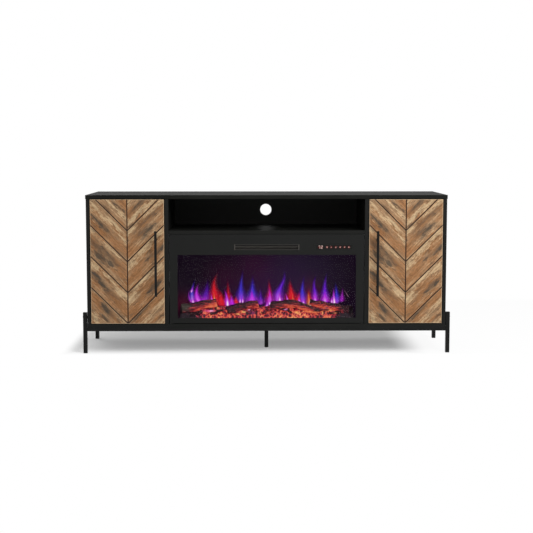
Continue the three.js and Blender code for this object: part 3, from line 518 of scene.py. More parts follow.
def rounded_plate(half, corner, low, high, bevel, steps=6):
    """A flat square plate with round corners and bevelled edges, centred on Z."""
    rings = []
    for inset, height in ((bevel, low), (0, low + bevel), (0, high - bevel), (bevel, high)):
        ring = []
        for quarter in range(4):
            for step in range(steps + 1):
                angle = math.pi / 2 * (quarter + step / steps)
                middle_x = half - corner if quarter in (0, 3) else corner - half
                middle_y = half - corner if quarter in (0, 1) else corner - half
                x = middle_x + (corner - inset) * math.cos(angle)
                y = middle_y + (corner - inset) * math.sin(angle)
                ring.append(Vector((x, y, height)))
        rings.append(ring)
    across = len(rings[0])
    faces = [tuple(range(across)), tuple(range(3 * across, 4 * across))] + ring_faces(4, across)
    return [point for ring in rings for point in ring], faces


plate_corner = 6 * mm
foot_plate_form = rounded_plate(plate_half, plate_corner, tube_top, foot_high.z, foot_bevel)
foot_turn = round_bar(foot_radius, foot_low.z, tube_top, foot_bevel)[:3] + [
    (foot_radius, tube_top - foot_fillet),
    (foot_radius + foot_fillet / 3, tube_top - foot_fillet / 3),
    (foot_radius + foot_fillet, tube_top),
    (0, tube_top),
]
foot_forms = [(*turned(foot_turn, foot_sides), foot_axis), (*foot_plate_form, foot_axis)]
build("centre_foot_dressed", foot_forms, powder, "cabinet", ["centre_foot"])
cap_form = (*turned(round_bar(foot_radius, 0, foot_cap_height, foot_bevel), foot_sides), foot_axis)
build("centre_foot_cap_dressed", [cap_form], plastic, "cabinet", ["centre_foot_cap"])

# Pan-headed screws with a cross recess hold the plate of the foot, the leg frames, the brackets and
# the rear cover. They are pressed from steel wire and blackened or plated.
cross_half_width_share = 0.16
cross_reach_share = 0.62
cross_depth_share = 0.3


def screw_head(radius, height):
    """A domed head with a cross recess, which stands on the origin and points up Z."""
    rings = 14
    sides = 48
    points = []
    for ring in range(rings + 1):
        share = ring / rings
        for side in range(sides):
            angle = 2 * math.pi * side / sides
            x = share * math.cos(angle)
            y = share * math.sin(angle)
            rise = height * (1 - share ** 4) ** 0.5 if share < 1 else 0
            near = min(abs(x), abs(y)) < cross_half_width_share
            if near and max(abs(x), abs(y)) < cross_reach_share:
                rise = height * cross_depth_share
            points.append(Vector((x * radius, y * radius, rise)))
    faces = ring_faces(rings + 1, sides)
    faces.append(tuple(rings * sides + side for side in range(sides)))
    return points, faces


screw_radius = 3.6 * mm
screw_height = 2 * mm
screw = screw_head(screw_radius, screw_height)
foot_screw_inset = 9 * mm
foot_screw_reach = plate_half - foot_screw_inset
foot_screws = []
for x in (foot_middle.x - foot_screw_reach, foot_middle.x + foot_screw_reach):
    for y in (foot_middle.y - foot_screw_reach, foot_middle.y + foot_screw_reach):
        foot_screws.append((*screw, facing((x, y, tube_top), (0, 0, -1))))
build("centre_foot_screws", foot_screws, steel, "cabinet")
blackened = Finish("blackened_steel", Metallic=0.8, Roughness=0.42, Specular_IOR_Level=0.4)
blackened.tint(blackened.grain(900, 2), (0.012, 0.012, 0.012), (0.03, 0.03, 0.03))
leg_screw_drop = 22 * mm
leg_screws = []
for side, way in (("left", -1), ("right", 1)):
    low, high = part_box(side + "_leg_frame")
    outer = low.x if way < 0 else high.x
    for y in (low.y + tube / 2, high.y - tube / 2):
        place = (outer, y, high.z - leg_screw_drop)
        leg_screws.append((*screw, facing(place, (way, 0, 0))))
build("leg_screws", leg_screws, blackened, "cabinet")

# The doors are board pressed with a printed wood foil. The front shows planks in a chevron, with a
# routed groove between them that is painted dark as shade, and the back is plain brown.
left_low, left_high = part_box("left_door")
right_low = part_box("right_door")[0]
door_wide = left_high.x - left_low.x
door_tall = left_high.z - left_low.z
plank_rows = 4
plank_angle = math.radians(45)
plank_pitch = door_tall / plank_rows
print_smoke = (0.044, 0.037, 0.028)
print_brown = (0.108, 0.064, 0.036)
print_orange = (0.26, 0.118, 0.045)
print_tan = (0.315, 0.186, 0.096)
print_beige = (0.462, 0.33, 0.188)
painted_edge_highlight = (0.62, 0.45, 0.285)
painted_groove_shade = (0.02, 0.008, 0.006)
door_back_colour = (0.11, 0.066, 0.038)
groove_pitch = plank_pitch * math.cos(plank_angle)
groove_depths = (0.1 * mm, 0.5 * mm)
groove_shade_half = 3.6 * mm
groove_shade_core = 2.4 * mm
edge_highlight_reach = 2.6 * mm
edge_highlight_core = 1.2 * mm
foil_edge = 0.9 * mm
half_shift = 10.0
plank_shift = 3.7

# Marks of the print, placed on the chevron: shares of the door's width and height, half
# lengths along and across the grain in metres, and how strong each is in its tone
mark_shares = {
    print_orange: [
        (0.54, 0.90, 0.050, 0.016, 1.0),
        (0.54, 0.84, 0.022, 0.010, 0.9),
        (0.43, 0.81, 0.040, 0.010, 0.8),
        (0.28, 0.89, 0.040, 0.009, 0.7),
        (0.46, 0.97, 0.025, 0.014, 0.7),
        (0.36, 0.65, 0.070, 0.018, 1.0),
        (0.46, 0.60, 0.055, 0.024, 1.0),
        (0.60, 0.69, 0.055, 0.014, 0.8),
        (0.54, 0.58, 0.050, 0.018, 1.0),
        (0.08, 0.83, 0.020, 0.008, 0.7),
        (0.07, 0.67, 0.040, 0.014, 0.7),
        (0.40, 0.46, 0.060, 0.020, 1.0),
        (0.46, 0.38, 0.050, 0.018, 0.9),
        (0.66, 0.46, 0.070, 0.014, 0.8),
        (0.57, 0.37, 0.060, 0.016, 1.0),
        (0.85, 0.53, 0.050, 0.012, 0.6),
        (0.06, 0.42, 0.022, 0.010, 0.8),
        (0.34, 0.19, 0.070, 0.020, 0.9),
        (0.44, 0.12, 0.050, 0.018, 0.9),
        (0.72, 0.22, 0.070, 0.013, 0.8),
        (0.56, 0.11, 0.060, 0.016, 1.0),
        (0.10, 0.17, 0.050, 0.022, 1.0),
        (0.28, 0.07, 0.050, 0.016, 0.9),
        (0.82, 0.16, 0.050, 0.018, 0.9),
        (0.93, 0.23, 0.040, 0.016, 0.9),
    ],
    print_beige: [
        (0.30, 0.95, 0.075, 0.007, 0.9),
        (0.43, 0.88, 0.060, 0.009, 1.0),
        (0.53, 0.98, 0.022, 0.010, 0.8),
        (0.58, 0.85, 0.055, 0.012, 1.0),
        (0.70, 0.92, 0.060, 0.011, 1.0),
        (0.84, 0.98, 0.060, 0.011, 1.0),
        (0.06, 0.94, 0.045, 0.018, 0.8),
        (0.18, 0.86, 0.055, 0.012, 0.7),
        (0.36, 0.78, 0.085, 0.013, 0.9),
        (0.46, 0.68, 0.030, 0.012, 0.9),
        (0.54, 0.75, 0.060, 0.015, 0.8),
        (0.80, 0.90, 0.100, 0.009, 0.7),
        (0.94, 0.97, 0.040, 0.016, 0.8),
        (0.03, 0.76, 0.025, 0.012, 0.8),
        (0.34, 0.57, 0.070, 0.008, 0.7),
        (0.55, 0.49, 0.045, 0.018, 0.9),
        (0.76, 0.62, 0.110, 0.015, 0.9),
        (0.94, 0.72, 0.050, 0.018, 0.9),
        (0.05, 0.47, 0.030, 0.018, 0.9),
        (0.25, 0.37, 0.060, 0.011, 0.8),
        (0.42, 0.24, 0.060, 0.012, 1.0),
        (0.72, 0.37, 0.110, 0.015, 0.9),
        (0.55, 0.21, 0.050, 0.022, 0.9),
        (0.93, 0.45, 0.050, 0.020, 0.9),
        (0.05, 0.05, 0.035, 0.020, 0.9),
        (0.42, 0.02, 0.040, 0.010, 0.6),
        (0.84, 0.07, 0.080, 0.009, 0.8),
        (0.94, 0.16, 0.050, 0.008, 0.7),
        (0.95, 0.01, 0.030, 0.010, 0.8),
    ],
    print_brown: [
        (0.22, 0.93, 0.045, 0.008, 0.8),
        (0.66, 0.96, 0.070, 0.012, 1.0),
        (0.18, 0.78, 0.070, 0.014, 0.9),
        (0.78, 0.85, 0.110, 0.009, 0.9),
        (0.70, 0.74, 0.050, 0.016, 0.8),
        (0.10, 0.62, 0.090, 0.016, 0.9),
        (0.28, 0.53, 0.060, 0.016, 0.9),
        (0.80, 0.54, 0.040, 0.010, 0.7),
        (0.94, 0.60, 0.050, 0.014, 0.9),
        (0.10, 0.36, 0.070, 0.016, 0.9),
        (0.26, 0.26, 0.080, 0.014, 0.8),
        (0.86, 0.30, 0.060, 0.014, 0.9),
        (0.66, 0.26, 0.060, 0.007, 0.7),
        (0.22, 0.10, 0.050, 0.020, 0.9),
        (0.66, 0.09, 0.100, 0.014, 1.0),
        (0.52, 0.01, 0.040, 0.016, 0.8),
        (0.90, 0.10, 0.060, 0.006, 0.8),
    ],
    print_smoke: [
        (0.37, 0.95, 0.034, 0.008, 0.9),
        (0.45, 0.91, 0.024, 0.007, 0.8),
        (0.64, 0.96, 0.030, 0.006, 0.6),
        (0.635, 0.857, 0.009, 0.006, 1.0),
        (0.06, 0.85, 0.034, 0.008, 0.9),
        (0.15, 0.79, 0.030, 0.009, 0.9),
        (0.25, 0.755, 0.020, 0.006, 0.7),
        (0.80, 0.76, 0.040, 0.014, 0.9),
        (0.75, 0.71, 0.022, 0.009, 0.8),
        (0.86, 0.87, 0.040, 0.006, 0.6),
        (0.19, 0.60, 0.034, 0.010, 0.8),
        (0.13, 0.54, 0.045, 0.018, 0.9),
        (0.26, 0.49, 0.034, 0.012, 0.9),
        (0.77, 0.515, 0.016, 0.006, 0.8),
        (0.96, 0.60, 0.024, 0.010, 0.8),
        (0.08, 0.39, 0.040, 0.009, 0.9),
        (0.16, 0.31, 0.050, 0.012, 0.9),
        (0.22, 0.25, 0.030, 0.012, 0.8),
        (0.37, 0.37, 0.040, 0.006, 0.5),
        (0.92, 0.33, 0.030, 0.010, 0.8),
        (0.79, 0.26, 0.024, 0.007, 0.7),
        (0.20, 0.125, 0.024, 0.013, 0.9),
        (0.17, 0.05, 0.034, 0.010, 1.0),
        (0.43, 0.06, 0.026, 0.007, 0.7),
        (0.62, 0.05, 0.040, 0.009, 0.7),
        (0.94, 0.05, 0.030, 0.008, 0.7),
    ],
}
mark_ragged = 0.017


def chevron_place(across, rise):
    """A place on the door as (along its plank, across the plank, row of the plank)."""
    aside = across - door_wide / 2
    along = abs(aside) * math.cos(plank_angle) + rise * math.sin(plank_angle)
    over = rise * math.cos(plank_angle) - abs(aside) * math.sin(plank_angle)
    row = math.floor((rise - abs(aside) * math.tan(plank_angle)) / plank_pitch)
    return Vector((along, over + (half_shift if aside < 0 else 0), max(row, -1)))


def rustic_print(name, low):
    """The printed foil of the door whose lower left corner is at low. Both doors have the same print."""
    wood = Finish(name, Specular_IOR_Level=0.2)
    # How far a point lies along and across its plank, and which plank that is
    local = wood.place() - low
    across, depth, rise = wood.split(local)
    signed = across - door_wide / 2
    aside = wood.math("ABSOLUTE", signed)
    level = (rise - aside * math.tan(plank_angle)) / plank_pitch
    row = wood.math("MAXIMUM", wood.math("FLOOR", level), -1)
    left_half = wood.math("LESS_THAN", signed, 0)
    along = aside * math.cos(plank_angle) + rise * math.sin(plank_angle)
    over = rise * math.cos(plank_angle) - aside * math.sin(plank_angle) + left_half * half_shift
    grain = wood.compose(along, over, row * plank_shift)

    def figure(lengthwise, crosswise, detail, distortion=0.0):
        return wood.noise(grain * (lengthwise, crosswise, 1), 1, detail, 0.68, distortion)

    mottle = figure(26, 80, 5, 0.3)
    streaks = figure(12, 150, 5, 0.2)
    speck = figure(75, 170, 4)
    fine = figure(60, 900, 3)
    # The ground of the print
    colour = wood.veil(print_orange, print_tan, figure(6, 24, 4, 0.6), 0.4, 0.6)
    colour = wood.veil(colour, print_beige, streaks, 0.52, 0.68, 0.7)
    colour = wood.veil(colour, print_brown, mottle, 0.48, 0.34, 0.7)
    # The marks, with torn edges
    drawn = (figure(20, 30, 4) - 0.5) * (6 * mark_ragged)
    waved = (mottle - 0.5) * (2 * mark_ragged)
    spot = wood.compose(along + drawn, over + waved, row)
    torn = (mottle + streaks + speck - 1.5) * 1.25
    for tone, shares in mark_shares.items():
        marks = []
        for wide_share, tall_share, length, width, strength in shares:
            centre = chevron_place(wide_share * door_wide, tall_share * door_tall)
            marks.append(wood.bell((spot - centre) * (1 / length, 1 / width, 4)) * strength)
        colour = wood.veil(colour, tone, wood.largest(*marks) + torn, 0.2, 0.85, 0.85)
    smudge = figure(9, 34, 6, 0.9) + torn * 0.12
    colour = wood.veil(colour, print_smoke, smudge, 0.58, 0.72, 0.6)
    colour = wood.veil(colour, print_orange, figure(8, 20, 4, 0.5), 0.55, 0.68, 0.5)
    # The light and dark of the fine grain
    shade = wood.ramp(streaks, 0.3, 0.7, 0.78, 1.2) * wood.ramp(speck, 0.3, 0.7, 0.78, 1.22)
    shade = shade * wood.ramp(fine, 0.3, 0.7, 0.86, 1.14)
    colour = wood.mix(1, colour, wood.compose(shade, shade, shade), "MULTIPLY")
    # A painted highlight along the lower side of each groove and round the door's edges, and the grooves
    groove_highlight = wood.ramp(level - row, 0.95, 0.972, 0, 0.5) * wood.math("GREATER_THAN", level, -1)
    colour = wood.mix(groove_highlight, colour, print_beige)
    edge = wood.math("MINIMUM", door_wide / 2 - aside, wood.math("MINIMUM", rise, door_tall - rise))
    # Painted highlight round the door's bevelled edges
    colour = wood.veil(colour, painted_edge_highlight, edge, edge_highlight_reach, edge_highlight_core, 0.75)
    # Painted shade: the grooves and a narrow band either side of them are drawn near black
    from_line = wood.math("ABSOLUTE", level - wood.math("ROUND", level)) * groove_pitch
    line = wood.ramp(from_line, groove_shade_half, groove_shade_core) * wood.math("GREATER_THAN", level, -0.5)
    line = wood.largest(line, wood.ramp(aside, groove_shade_half, groove_shade_core))
    groove = wood.largest(wood.ramp(depth, *groove_depths), line * 0.8)
    inside = wood.math("GREATER_THAN", edge, edge_highlight_core)
    colour = wood.mix(groove * inside, colour, painted_groove_shade)
    # The back, past the edge of the foil
    behind = wood.math("GREATER_THAN", depth, left_high.y - left_low.y - foil_edge)
    back_grain = wood.noise(local * (260, 260, 12), 1, 3, 0.6)
    wood.tint(behind, colour, wood.mix(back_grain, door_back_colour, print_brown))
    wood.roughen(streaks, 0.66, 0.52)
    wood.bump(fine + streaks, 0.1 * mm)
    return wood


dress(["left_door"], rustic_print("rustic_print_left", left_low))
dress(["right_door"], rustic_print("rustic_print_right", right_low))

# Each handle is a solid round steel bar with bevelled ends on two turned posts, powder coated black.
# Two screws hold it from the back of the door.
handle_bar_radius = 6 * mm
handle_post_radius = 4 * mm
handle_bevel = 0.8 * mm
handle_flare = 1.4 * mm
handle_sides = 40
post_spacing = 0.224
for label, low in (("left", left_low), ("right", right_low)):
    bar_low, bar_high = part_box(label + "_handle")
    bar_x = (bar_low.x + bar_high.x) / 2
    bar_y = bar_low.y + handle_bar_radius
    half = (bar_high.z - bar_low.z) / 2
    middle = (bar_high.z + bar_low.z) / 2
    reach = bar_high.y - bar_y
    bar = round_bar(handle_bar_radius, -half, half, handle_bevel)
    post = [
        (0, 0),
        (handle_post_radius, 0),
        (handle_post_radius, reach - 3 * handle_flare),
        (handle_post_radius + handle_flare * 0.3, reach - 1.5 * handle_flare),
        (handle_post_radius + handle_flare, reach - handle_flare * 0.4),
        (handle_post_radius + handle_flare, reach),
        (0, reach),
    ]
    forms = [(*turned(bar, handle_sides), Matrix.Translation((bar_x, bar_y, middle)))]
    back_screws = []
    for end in (-1, 1):
        z = middle + end * post_spacing / 2
        forms.append((*turned(post, handle_sides), facing((bar_x, bar_y, z), (0, 1, 0))))
        place = (bar_x, left_high.y, z)
        back_screws.append((*screw, facing(place, (0, 1, 0))))
    name = label + "_handle"
    build(name + "_dressed", forms, powder, label + "_door", [name])
    build(name + "_screws", back_screws, steel, label + "_door")

# The concealed hinges are pressed from nickel plated steel. The cup is let into the door, and the
# arm is screwed to the side panel and held on its plate by two adjusting screws.
nickel = Finish("nickel_plate", Metallic=1, Specular_IOR_Level=0.5)
nickel_marks = nickel.grain((60, 60, 900), 3, 0.6)
nickel.tint(nickel_marks, (0.42, 0.41, 0.39), (0.62, 0.61, 0.58))
nickel.roughen(nickel_marks, 0.24, 0.36)
hinge_edge = 0.4 * mm
hinge_parts = [
    side + "_" + level + "_hinge_" + part
    for side in ("left", "right") for level in ("lower", "upper") for part in ("cup", "arm")
]
dress(hinge_parts, nickel, hinge_edge)
hinge_screw_radius = 3.4 * mm
hinge_screw_height = 1.5 * mm
hinge_screw = screw_head(hinge_screw_radius, hinge_screw_height)
cup_screw_rise = 21 * mm
arm_screw_insets = (10 * mm, 30 * mm)
arm_thick = 11 * mm
for side, way in (("left", 1), ("right", -1)):
    cup_screws = []
    arm_screws = []
    for level in ("lower", "upper"):
        low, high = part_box(side + "_" + level + "_hinge_cup")
        for end in (-1, 1):
            place = ((low.x + high.x) / 2, high.y, (low.z + high.z) / 2 + end * cup_screw_rise)
            cup_screws.append((*hinge_screw, facing(place, (0, 1, 0))))
        low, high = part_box(side + "_" + level + "_hinge_arm")
        face = low.x + arm_thick if way > 0 else high.x - arm_thick
        for inset in arm_screw_insets:
            place = (face, high.y - inset, (low.z + high.z) / 2)
            arm_screws.append((*hinge_screw, facing(place, (way, 0, 0))))
    build(side + "_hinge_cup_screws", cup_screws, nickel, side + "_door")
    build(side + "_hinge_arm_screws", arm_screws, nickel, "cabinet")

# The front of the fireplace is a folded steel tray, coated in a fine matt charcoal. It has openings
# for the window, the louvre and the touch panel.
charcoal_tones = ((0.0072, 0.0075, 0.0071), (0.0096, 0.0099, 0.0094))
charcoal = coated("charcoal_coat", 0.12, charcoal_tones, (6, 3), (2200, 2), (0.5, 0.62))
tray_edge = 0.4 * mm
dress(["trim_frame"], charcoal, tray_edge)

# The louvre is moulded in black plastic and snapped into the tray. The front faces of its two blades
# and its ends, and more faintly the edges of its frame, carry a painted highlight.
louvre = Finish("louvre_plastic", Specular_IOR_Level=0.35, Roughness=0.4)
louvre_marks = louvre.grain((60, 400, 400), 4, 0.7)
louvre_low, louvre_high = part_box("vent_louvre")
louvre_x, _, louvre_z = louvre.split(louvre.place())
louvre_middle = (louvre_low.z + louvre_high.z) / 2
blade_rise = 3.4 * mm
blade_face = 1 * mm
louvre_end = 3.5 * mm
louvre_rim = 9 * mm
moulded_edge = 0.5 * mm
louvre_away = louvre.math("ABSOLUTE", louvre_z - louvre_middle)
on_blade = louvre.math("COMPARE", louvre_away, blade_rise, blade_face)
on_end = louvre.math("GREATER_THAN", louvre.math("ABSOLUTE", louvre_x), louvre_high.x - louvre_end)
louvre_way = louvre.split(louvre.field("ShaderNodeNewGeometry", output="Normal"))[1]
on_rim = louvre.ramp(louvre_away, louvre_rim, louvre_rim + moulded_edge, 0, 0.3)
# Painted highlight on the front faces of the blades, the ends and the frame's edges
louvre_highlight_mask = louvre.ramp(louvre_way, -0.6, -0.9) * louvre.largest(on_blade, on_end, on_rim)
louvre_painted_highlight = louvre.mix(louvre_marks, (0.034, 0.03, 0.026), (0.086, 0.078, 0.067))
louvre.tint(louvre_highlight_mask, (0.003, 0.003, 0.003), louvre_painted_highlight)
dress(["vent_louvre"], louvre, moulded_edge)

# The touch panel is a smooth black strip. Two figures for the temperature and six touch marks light
# up through it in white and red.
panel_low, panel_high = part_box("touch_panel")
panel_gloss = Finish("panel_gloss", Roughness=0.3, Specular_IOR_Level=0.1)
panel_gloss.tint(panel_gloss.grain(400, 2), (0.0072, 0.0075, 0.0071), (0.0092, 0.0096, 0.009))
dress(["touch_panel"], panel_gloss)
mark_lift = 0.1 * mm
mark_rise = (panel_low.z + panel_high.z) / 2
figure_tall = 13 * mm
figure_wide = 5.6 * mm
figure_stroke = 1.5 * mm
figure_places = (0.2475, 0.2595)
mark_places = (0.284, 0.3035, 0.3255, 0.346, 0.3665, 0.387)
mark_size = 3.3 * mm
halo_size = 9 * mm
mark_size_shares = (1.0, 0.72, 0.95, 0.95, 0.85, 1.08)
mark_ring_share = 0.72
mark_line_share = 0.3
mark_bar_share = 0.36
mark_gap = 0.08
segment_shares = {
    "a": ((0, 1), (1, 1)),
    "b": ((1, 1), (1, 0.5)),
    "c": ((1, 0.5), (1, 0)),
    "d": ((0, 0), (1, 0)),
    "e": ((0, 0.5), (0, 0)),
    "g": ((0, 0.5), (1, 0.5)),
}
figure_segments = ("abc", "abged")


def stroke(start, end, width):
    """A flat bar with round ends between two places on the panel, as (points, faces)."""
    way = (end - start).normalized()
    side = Vector((-way.y, way.x))
    steps = 6
    points = []
    for centre, turn in ((end, 1), (start, -1)):
        for step in range(steps + 1):
            angle = math.pi * (step / steps - 0.5)
            points.append(centre + (way * math.cos(angle) + side * math.sin(angle)) * turn * width / 2)
    return [Vector((x, 0, z)) for x, z in points], [tuple(range(len(points)))]


def ring(radius, width, start=0.0, end=1.0, sides=28):
    """A flat ring, or a part of one, round the origin."""
    points = []
    for step in range(sides + 1):
        angle = 2 * math.pi * (start + (end - start) * step / sides)
        for reach in (radius - width / 2, radius + width / 2):
            points.append(Vector((reach * math.sin(angle), 0, reach * math.cos(angle))))
    faces = [(2 * step, 2 * step + 1, 2 * step + 3, 2 * step + 2) for step in range(sides)]
    return points, faces


def on_panel(x, z, lift=mark_lift):
    return Matrix.Translation((x, panel_low.y - lift, z))


figures = []
for place, segments in zip(figure_places, figure_segments):
    for segment in segments:
        start, end = (
            Vector(((x - 0.5) * figure_wide, (z - 0.5) * figure_tall)) for x, z in segment_shares[segment]
        )
        figures.append((*stroke(start, end, figure_stroke), on_panel(place, mark_rise)))
marks = []
for index, place in enumerate(mark_places):
    here = on_panel(place, mark_rise)
    size = mark_size * mark_size_shares[index]
    gap = mark_gap * (index % 3)
    marks.append((*ring(size * mark_ring_share, size * mark_line_share, gap, 1 - gap), here))
    for bar in range(1 + index % 2):
        low_end = Vector((size * (bar - 0.5 * (index % 2)) * 0.8, -size * 0.45))
        high_end = Vector((low_end.x, size * 0.5))
        marks.append((*stroke(low_end, high_end, size * mark_bar_share), here))
lit_forms = {"temperature_figures": (figures, (0.8, 0.56, 0.5)), "touch_marks": (marks, (0.7, 0.38, 0.32))}
for name, (forms, light) in lit_forms.items():
    lit = Finish("lit_" + name, Base_Color=(0.02, 0.02, 0.02), Emission_Color=light, Emission_Strength=1.0)
    lit.roughen(lit.grain(800, 2), 0.3, 0.5)
    build(name, forms, lit, "cabinet")
halo_disc = ring(halo_size / 2, halo_size, 0, 1, 40)
halo = Finish("red_halo", Base_Color=(0, 0, 0), Roughness=0.5, Emission_Color=(0.2, 0.004, 0.004))
halo.set("Emission Strength", 1.0)
halo_x, _, halo_z = halo.split(halo.place())
halos = []
halo_reaches = []
for place in (*figure_places, *mark_places):
    halos.append((*halo_disc, on_panel(place, mark_rise, mark_lift / 2)))
    offset = halo.compose(halo_x - place, 0, halo_z - mark_rise)
    halo_reaches.append(halo.vector("LENGTH", offset))
halo_reach = halo_reaches[0]
for reach in halo_reaches[1:]:
    halo_reach = halo.math("MINIMUM", halo_reach, reach)
halo.set("Alpha", halo.ramp(halo_reach, halo_size, halo_size * 0.2, 0, 0.38))
build("mark_halos", halos, halo, "cabinet")

# The window is one sheet of lightly tinted safety glass. It stands behind the tray and is held there
# by clips.
glass = Finish("dark_glass", Base_Color=(0.001, 0.001, 0.001), Specular_IOR_Level=0.25)
glass.roughen(glass.grain((7, 7, 30), 4, 0.7), 0.03, 0.09)
glass.set("Alpha", 0.09)
glass.material.surface_render_method = "BLENDED"
dress(["window_glass"], glass)

# The firebox is folded from thin sheet steel and sprayed matt black inside and out. Its rear cover is
# screwed on, and has two rows of air slots.
enamel_tones = ((0.0042, 0.004, 0.0045), (0.008, 0.0078, 0.0082))
enamel = coated("stove_black", 0.12, enamel_tones, (7, 3), (1300, 3), (0.55, 0.72))
sheet_edge = 0.3 * mm
dress(["firebox_shell", "rear_cover"], enamel, sheet_edge)
cover_low, cover_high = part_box("rear_cover")
cover_screw_inset = 12 * mm
cover_screw_steps = (6, 3)
cover_screws = []
for x, z in edge_places(cover_low, cover_high, cover_screw_inset, *cover_screw_steps):
    cover_screws.append((*screw, facing((x, cover_high.y, z), (0, 1, 0))))
build("rear_cover_screws", cover_screws, blackened, "cabinet")

# The cord gland is a black moulded bush with a flange and a tapered nose. It is snapped into the
# rear cover.
gland_low, gland_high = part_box("cord_gland")
gland_middle = (gland_low + gland_high) / 2
gland_flange = (gland_high.x - gland_low.x) / 2
gland_neck = 6 * mm
gland_bore = 4 * mm
gland_ring = 3 * mm
gland_length = gland_high.y - gland_low.y
gland_inner = 8 * mm
gland_turn = [
    (gland_bore, 0),
    (gland_neck, 0),
    (gland_neck, gland_inner),
    (gland_flange - gland_ring / 6, gland_inner),
    (gland_flange, gland_inner + gland_ring / 6),
    (gland_flange, gland_inner + gland_ring * 0.8),
    (gland_flange - gland_ring / 5, gland_inner + gland_ring),
    (gland_neck + gland_ring / 4, gland_inner + gland_ring),
    (gland_neck, gland_inner + gland_ring * 1.2),
    (gland_neck * 0.9, gland_length - gland_ring / 5),
    (gland_neck * 0.8, gland_length),
    (gland_bore, gland_length),
    (gland_bore, 0),
]
gland_place = facing((gland_middle.x, gland_low.y, gland_middle.z), (0, 1, 0))
gland_form = (*turned(gland_turn, 48), gland_place)
build("cord_gland_dressed", [gland_form], plastic, "cabinet", ["cord_gland"])

# Folded brackets of galvanised sheet carry the firebox between the dividers, with two screws into
# each. The motors have the same bright zinc, and the duct is sprayed black like the firebox.
zinc = Finish("galvanised_sheet", Metallic=0.9, Specular_IOR_Level=0.5)
spangle = zinc.cells(zinc.place(), 130)
zinc.tint(zinc.ramp(spangle, 0.1, 0.8), (0.3, 0.31, 0.32), (0.52, 0.53, 0.54))
zinc.roughen(zinc.grain(300, 3), 0.36, 0.52)
dress(["left_mount_bracket", "right_mount_bracket"], zinc, tray_edge)
dress(["blower_motor", "spindle_motor"], zinc, sheet_edge)
dress(["heater_duct"], enamel, sheet_edge)
bracket_screws = []
bracket_screw_rise = 14 * mm
bracket_screw_inset = 12 * mm
bracket_thick = 2 * mm
for side, way in (("left", 1), ("right", -1)):
    low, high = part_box(side + "_mount_bracket")
    wall = low.x + bracket_thick if way > 0 else high.x - bracket_thick
    for end in (-1, 1):
        place = (wall, low.y + bracket_screw_inset, (low.z + high.z) / 2 + end * bracket_screw_rise)
        bracket_screws.append((*screw, facing(place, (way, 0, 0))))
build("bracket_screws", bracket_screws, steel, "cabinet")

# Behind the louvre a tangential blower of rolled aluminium blows over a dark ceramic heater bar. Lamp
# strips and the control board are green circuit board.
ceramic = Finish("heater_ceramic", Roughness=0.6, Specular_IOR_Level=0.4)
ceramic.tint(ceramic.grain(260, 4, 0.6), (0.03, 0.027, 0.025), (0.06, 0.055, 0.05))
dress(["heater_element"], ceramic, sheet_edge)
aluminium = Finish("blower_aluminium", Metallic=0.95, Roughness=0.3)
aluminium.tint(aluminium.grain((20, 900, 900), 3), (0.5, 0.5, 0.51), (0.68, 0.68, 0.69))
dress(["blower_wheel", "flame_spindle"], aluminium)
dress(["spindle_bearing"], plastic, moulded_edge)
circuit = Finish("circuit_board", Roughness=0.4, Specular_IOR_Level=0.5)
tracks = circuit.cells(circuit.place() * (220, 220, 700), 1)
circuit.tint(circuit.ramp(tracks, 0.2, 0.35), (0.03, 0.16, 0.07), (0.012, 0.07, 0.035))
dress(["control_board", "flame_lamp_board", "ember_lamp_board"], circuit)

# The flames are thrown from behind on a satin plastic screen. It glows a dark purple of its own,
# redder on the left and bluer on the right, and lighter beyond a slanting edge near the middle.
screen_low, screen_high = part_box("flame_screen")
screen_half = (screen_high.x - screen_low.x) / 2
screen_tall = screen_high.z - screen_low.z
screen_night = (0.0075, 0.0024, 0.0095)
# Each glow: place as shares of the screen's half width and height, its half sizes, and its colour
glow_shares = [
    (0.03, 0.42, 0.42, 0.5, (0.014, 0.001, 0.0195)),
    (0.42, 0.68, 0.36, 0.4, (0.005, 0.004, 0.013)),
    (-0.46, 0.6, 0.2, 0.26, (0.016, 0.0, 0.005)),
    (-0.13, 0.78, 0.16, 0.24, (0.014, 0.0, 0.005)),
    (-0.1, 0.3, 0.75, 0.16, (0.012, 0.0, 0.018)),
    (-0.93, 0.24, 0.1, 0.14, (0.045, 0.0, 0.002)),
    (0.5, 0.35, 0.12, 0.2, (0.045, 0.0, 0.006)),
    (-0.72, 0.34, 0.1, 0.14, (0.03, 0.0, 0.055)),
]
screen = Finish("flame_screen_glow", Base_Color=(0.002, 0.0012, 0.0025), Specular_IOR_Level=0.05)
screen_x, screen_y, screen_z = screen.split(screen.place())
share_x = screen_x / screen_half
share_z = (screen_z - screen_low.z) / screen_tall
spot = screen.compose(share_x, share_z, 0)
screen_light = screen.node("ShaderNodeRGB").outputs[0]
screen_light.default_value = (*screen_night, 1)
for x, z, wide, tall, colour in glow_shares:
    fall = screen.bell((spot - (x, z, 0)) * (1 / wide, 1 / tall, 0))
    screen_light = screen.mix(fall, screen_light, colour, "ADD")
slant = share_x - (share_z - 0.86) * 0.7
screen_light = screen.mix(screen.ramp(slant, -0.02, 0.03, 0.16, 0), screen_light, (0, 0, 0))
wisps = screen.noise(spot * (5, 3, 1), 1, 4, 0.6)
screen_light = screen.mix(screen.ramp(wisps, 0.3, 0.7, 0.18, 0), screen_light, (0, 0, 0))
screen.set("Emission Color", screen_light)
screen_middle = (screen_low.y + screen_high.y) / 2
screen.set("Emission Strength", screen.math("LESS_THAN", screen_y, screen_middle))
screen.roughen(wisps, 0.5, 0.7)
dress(["flame_screen"], screen)

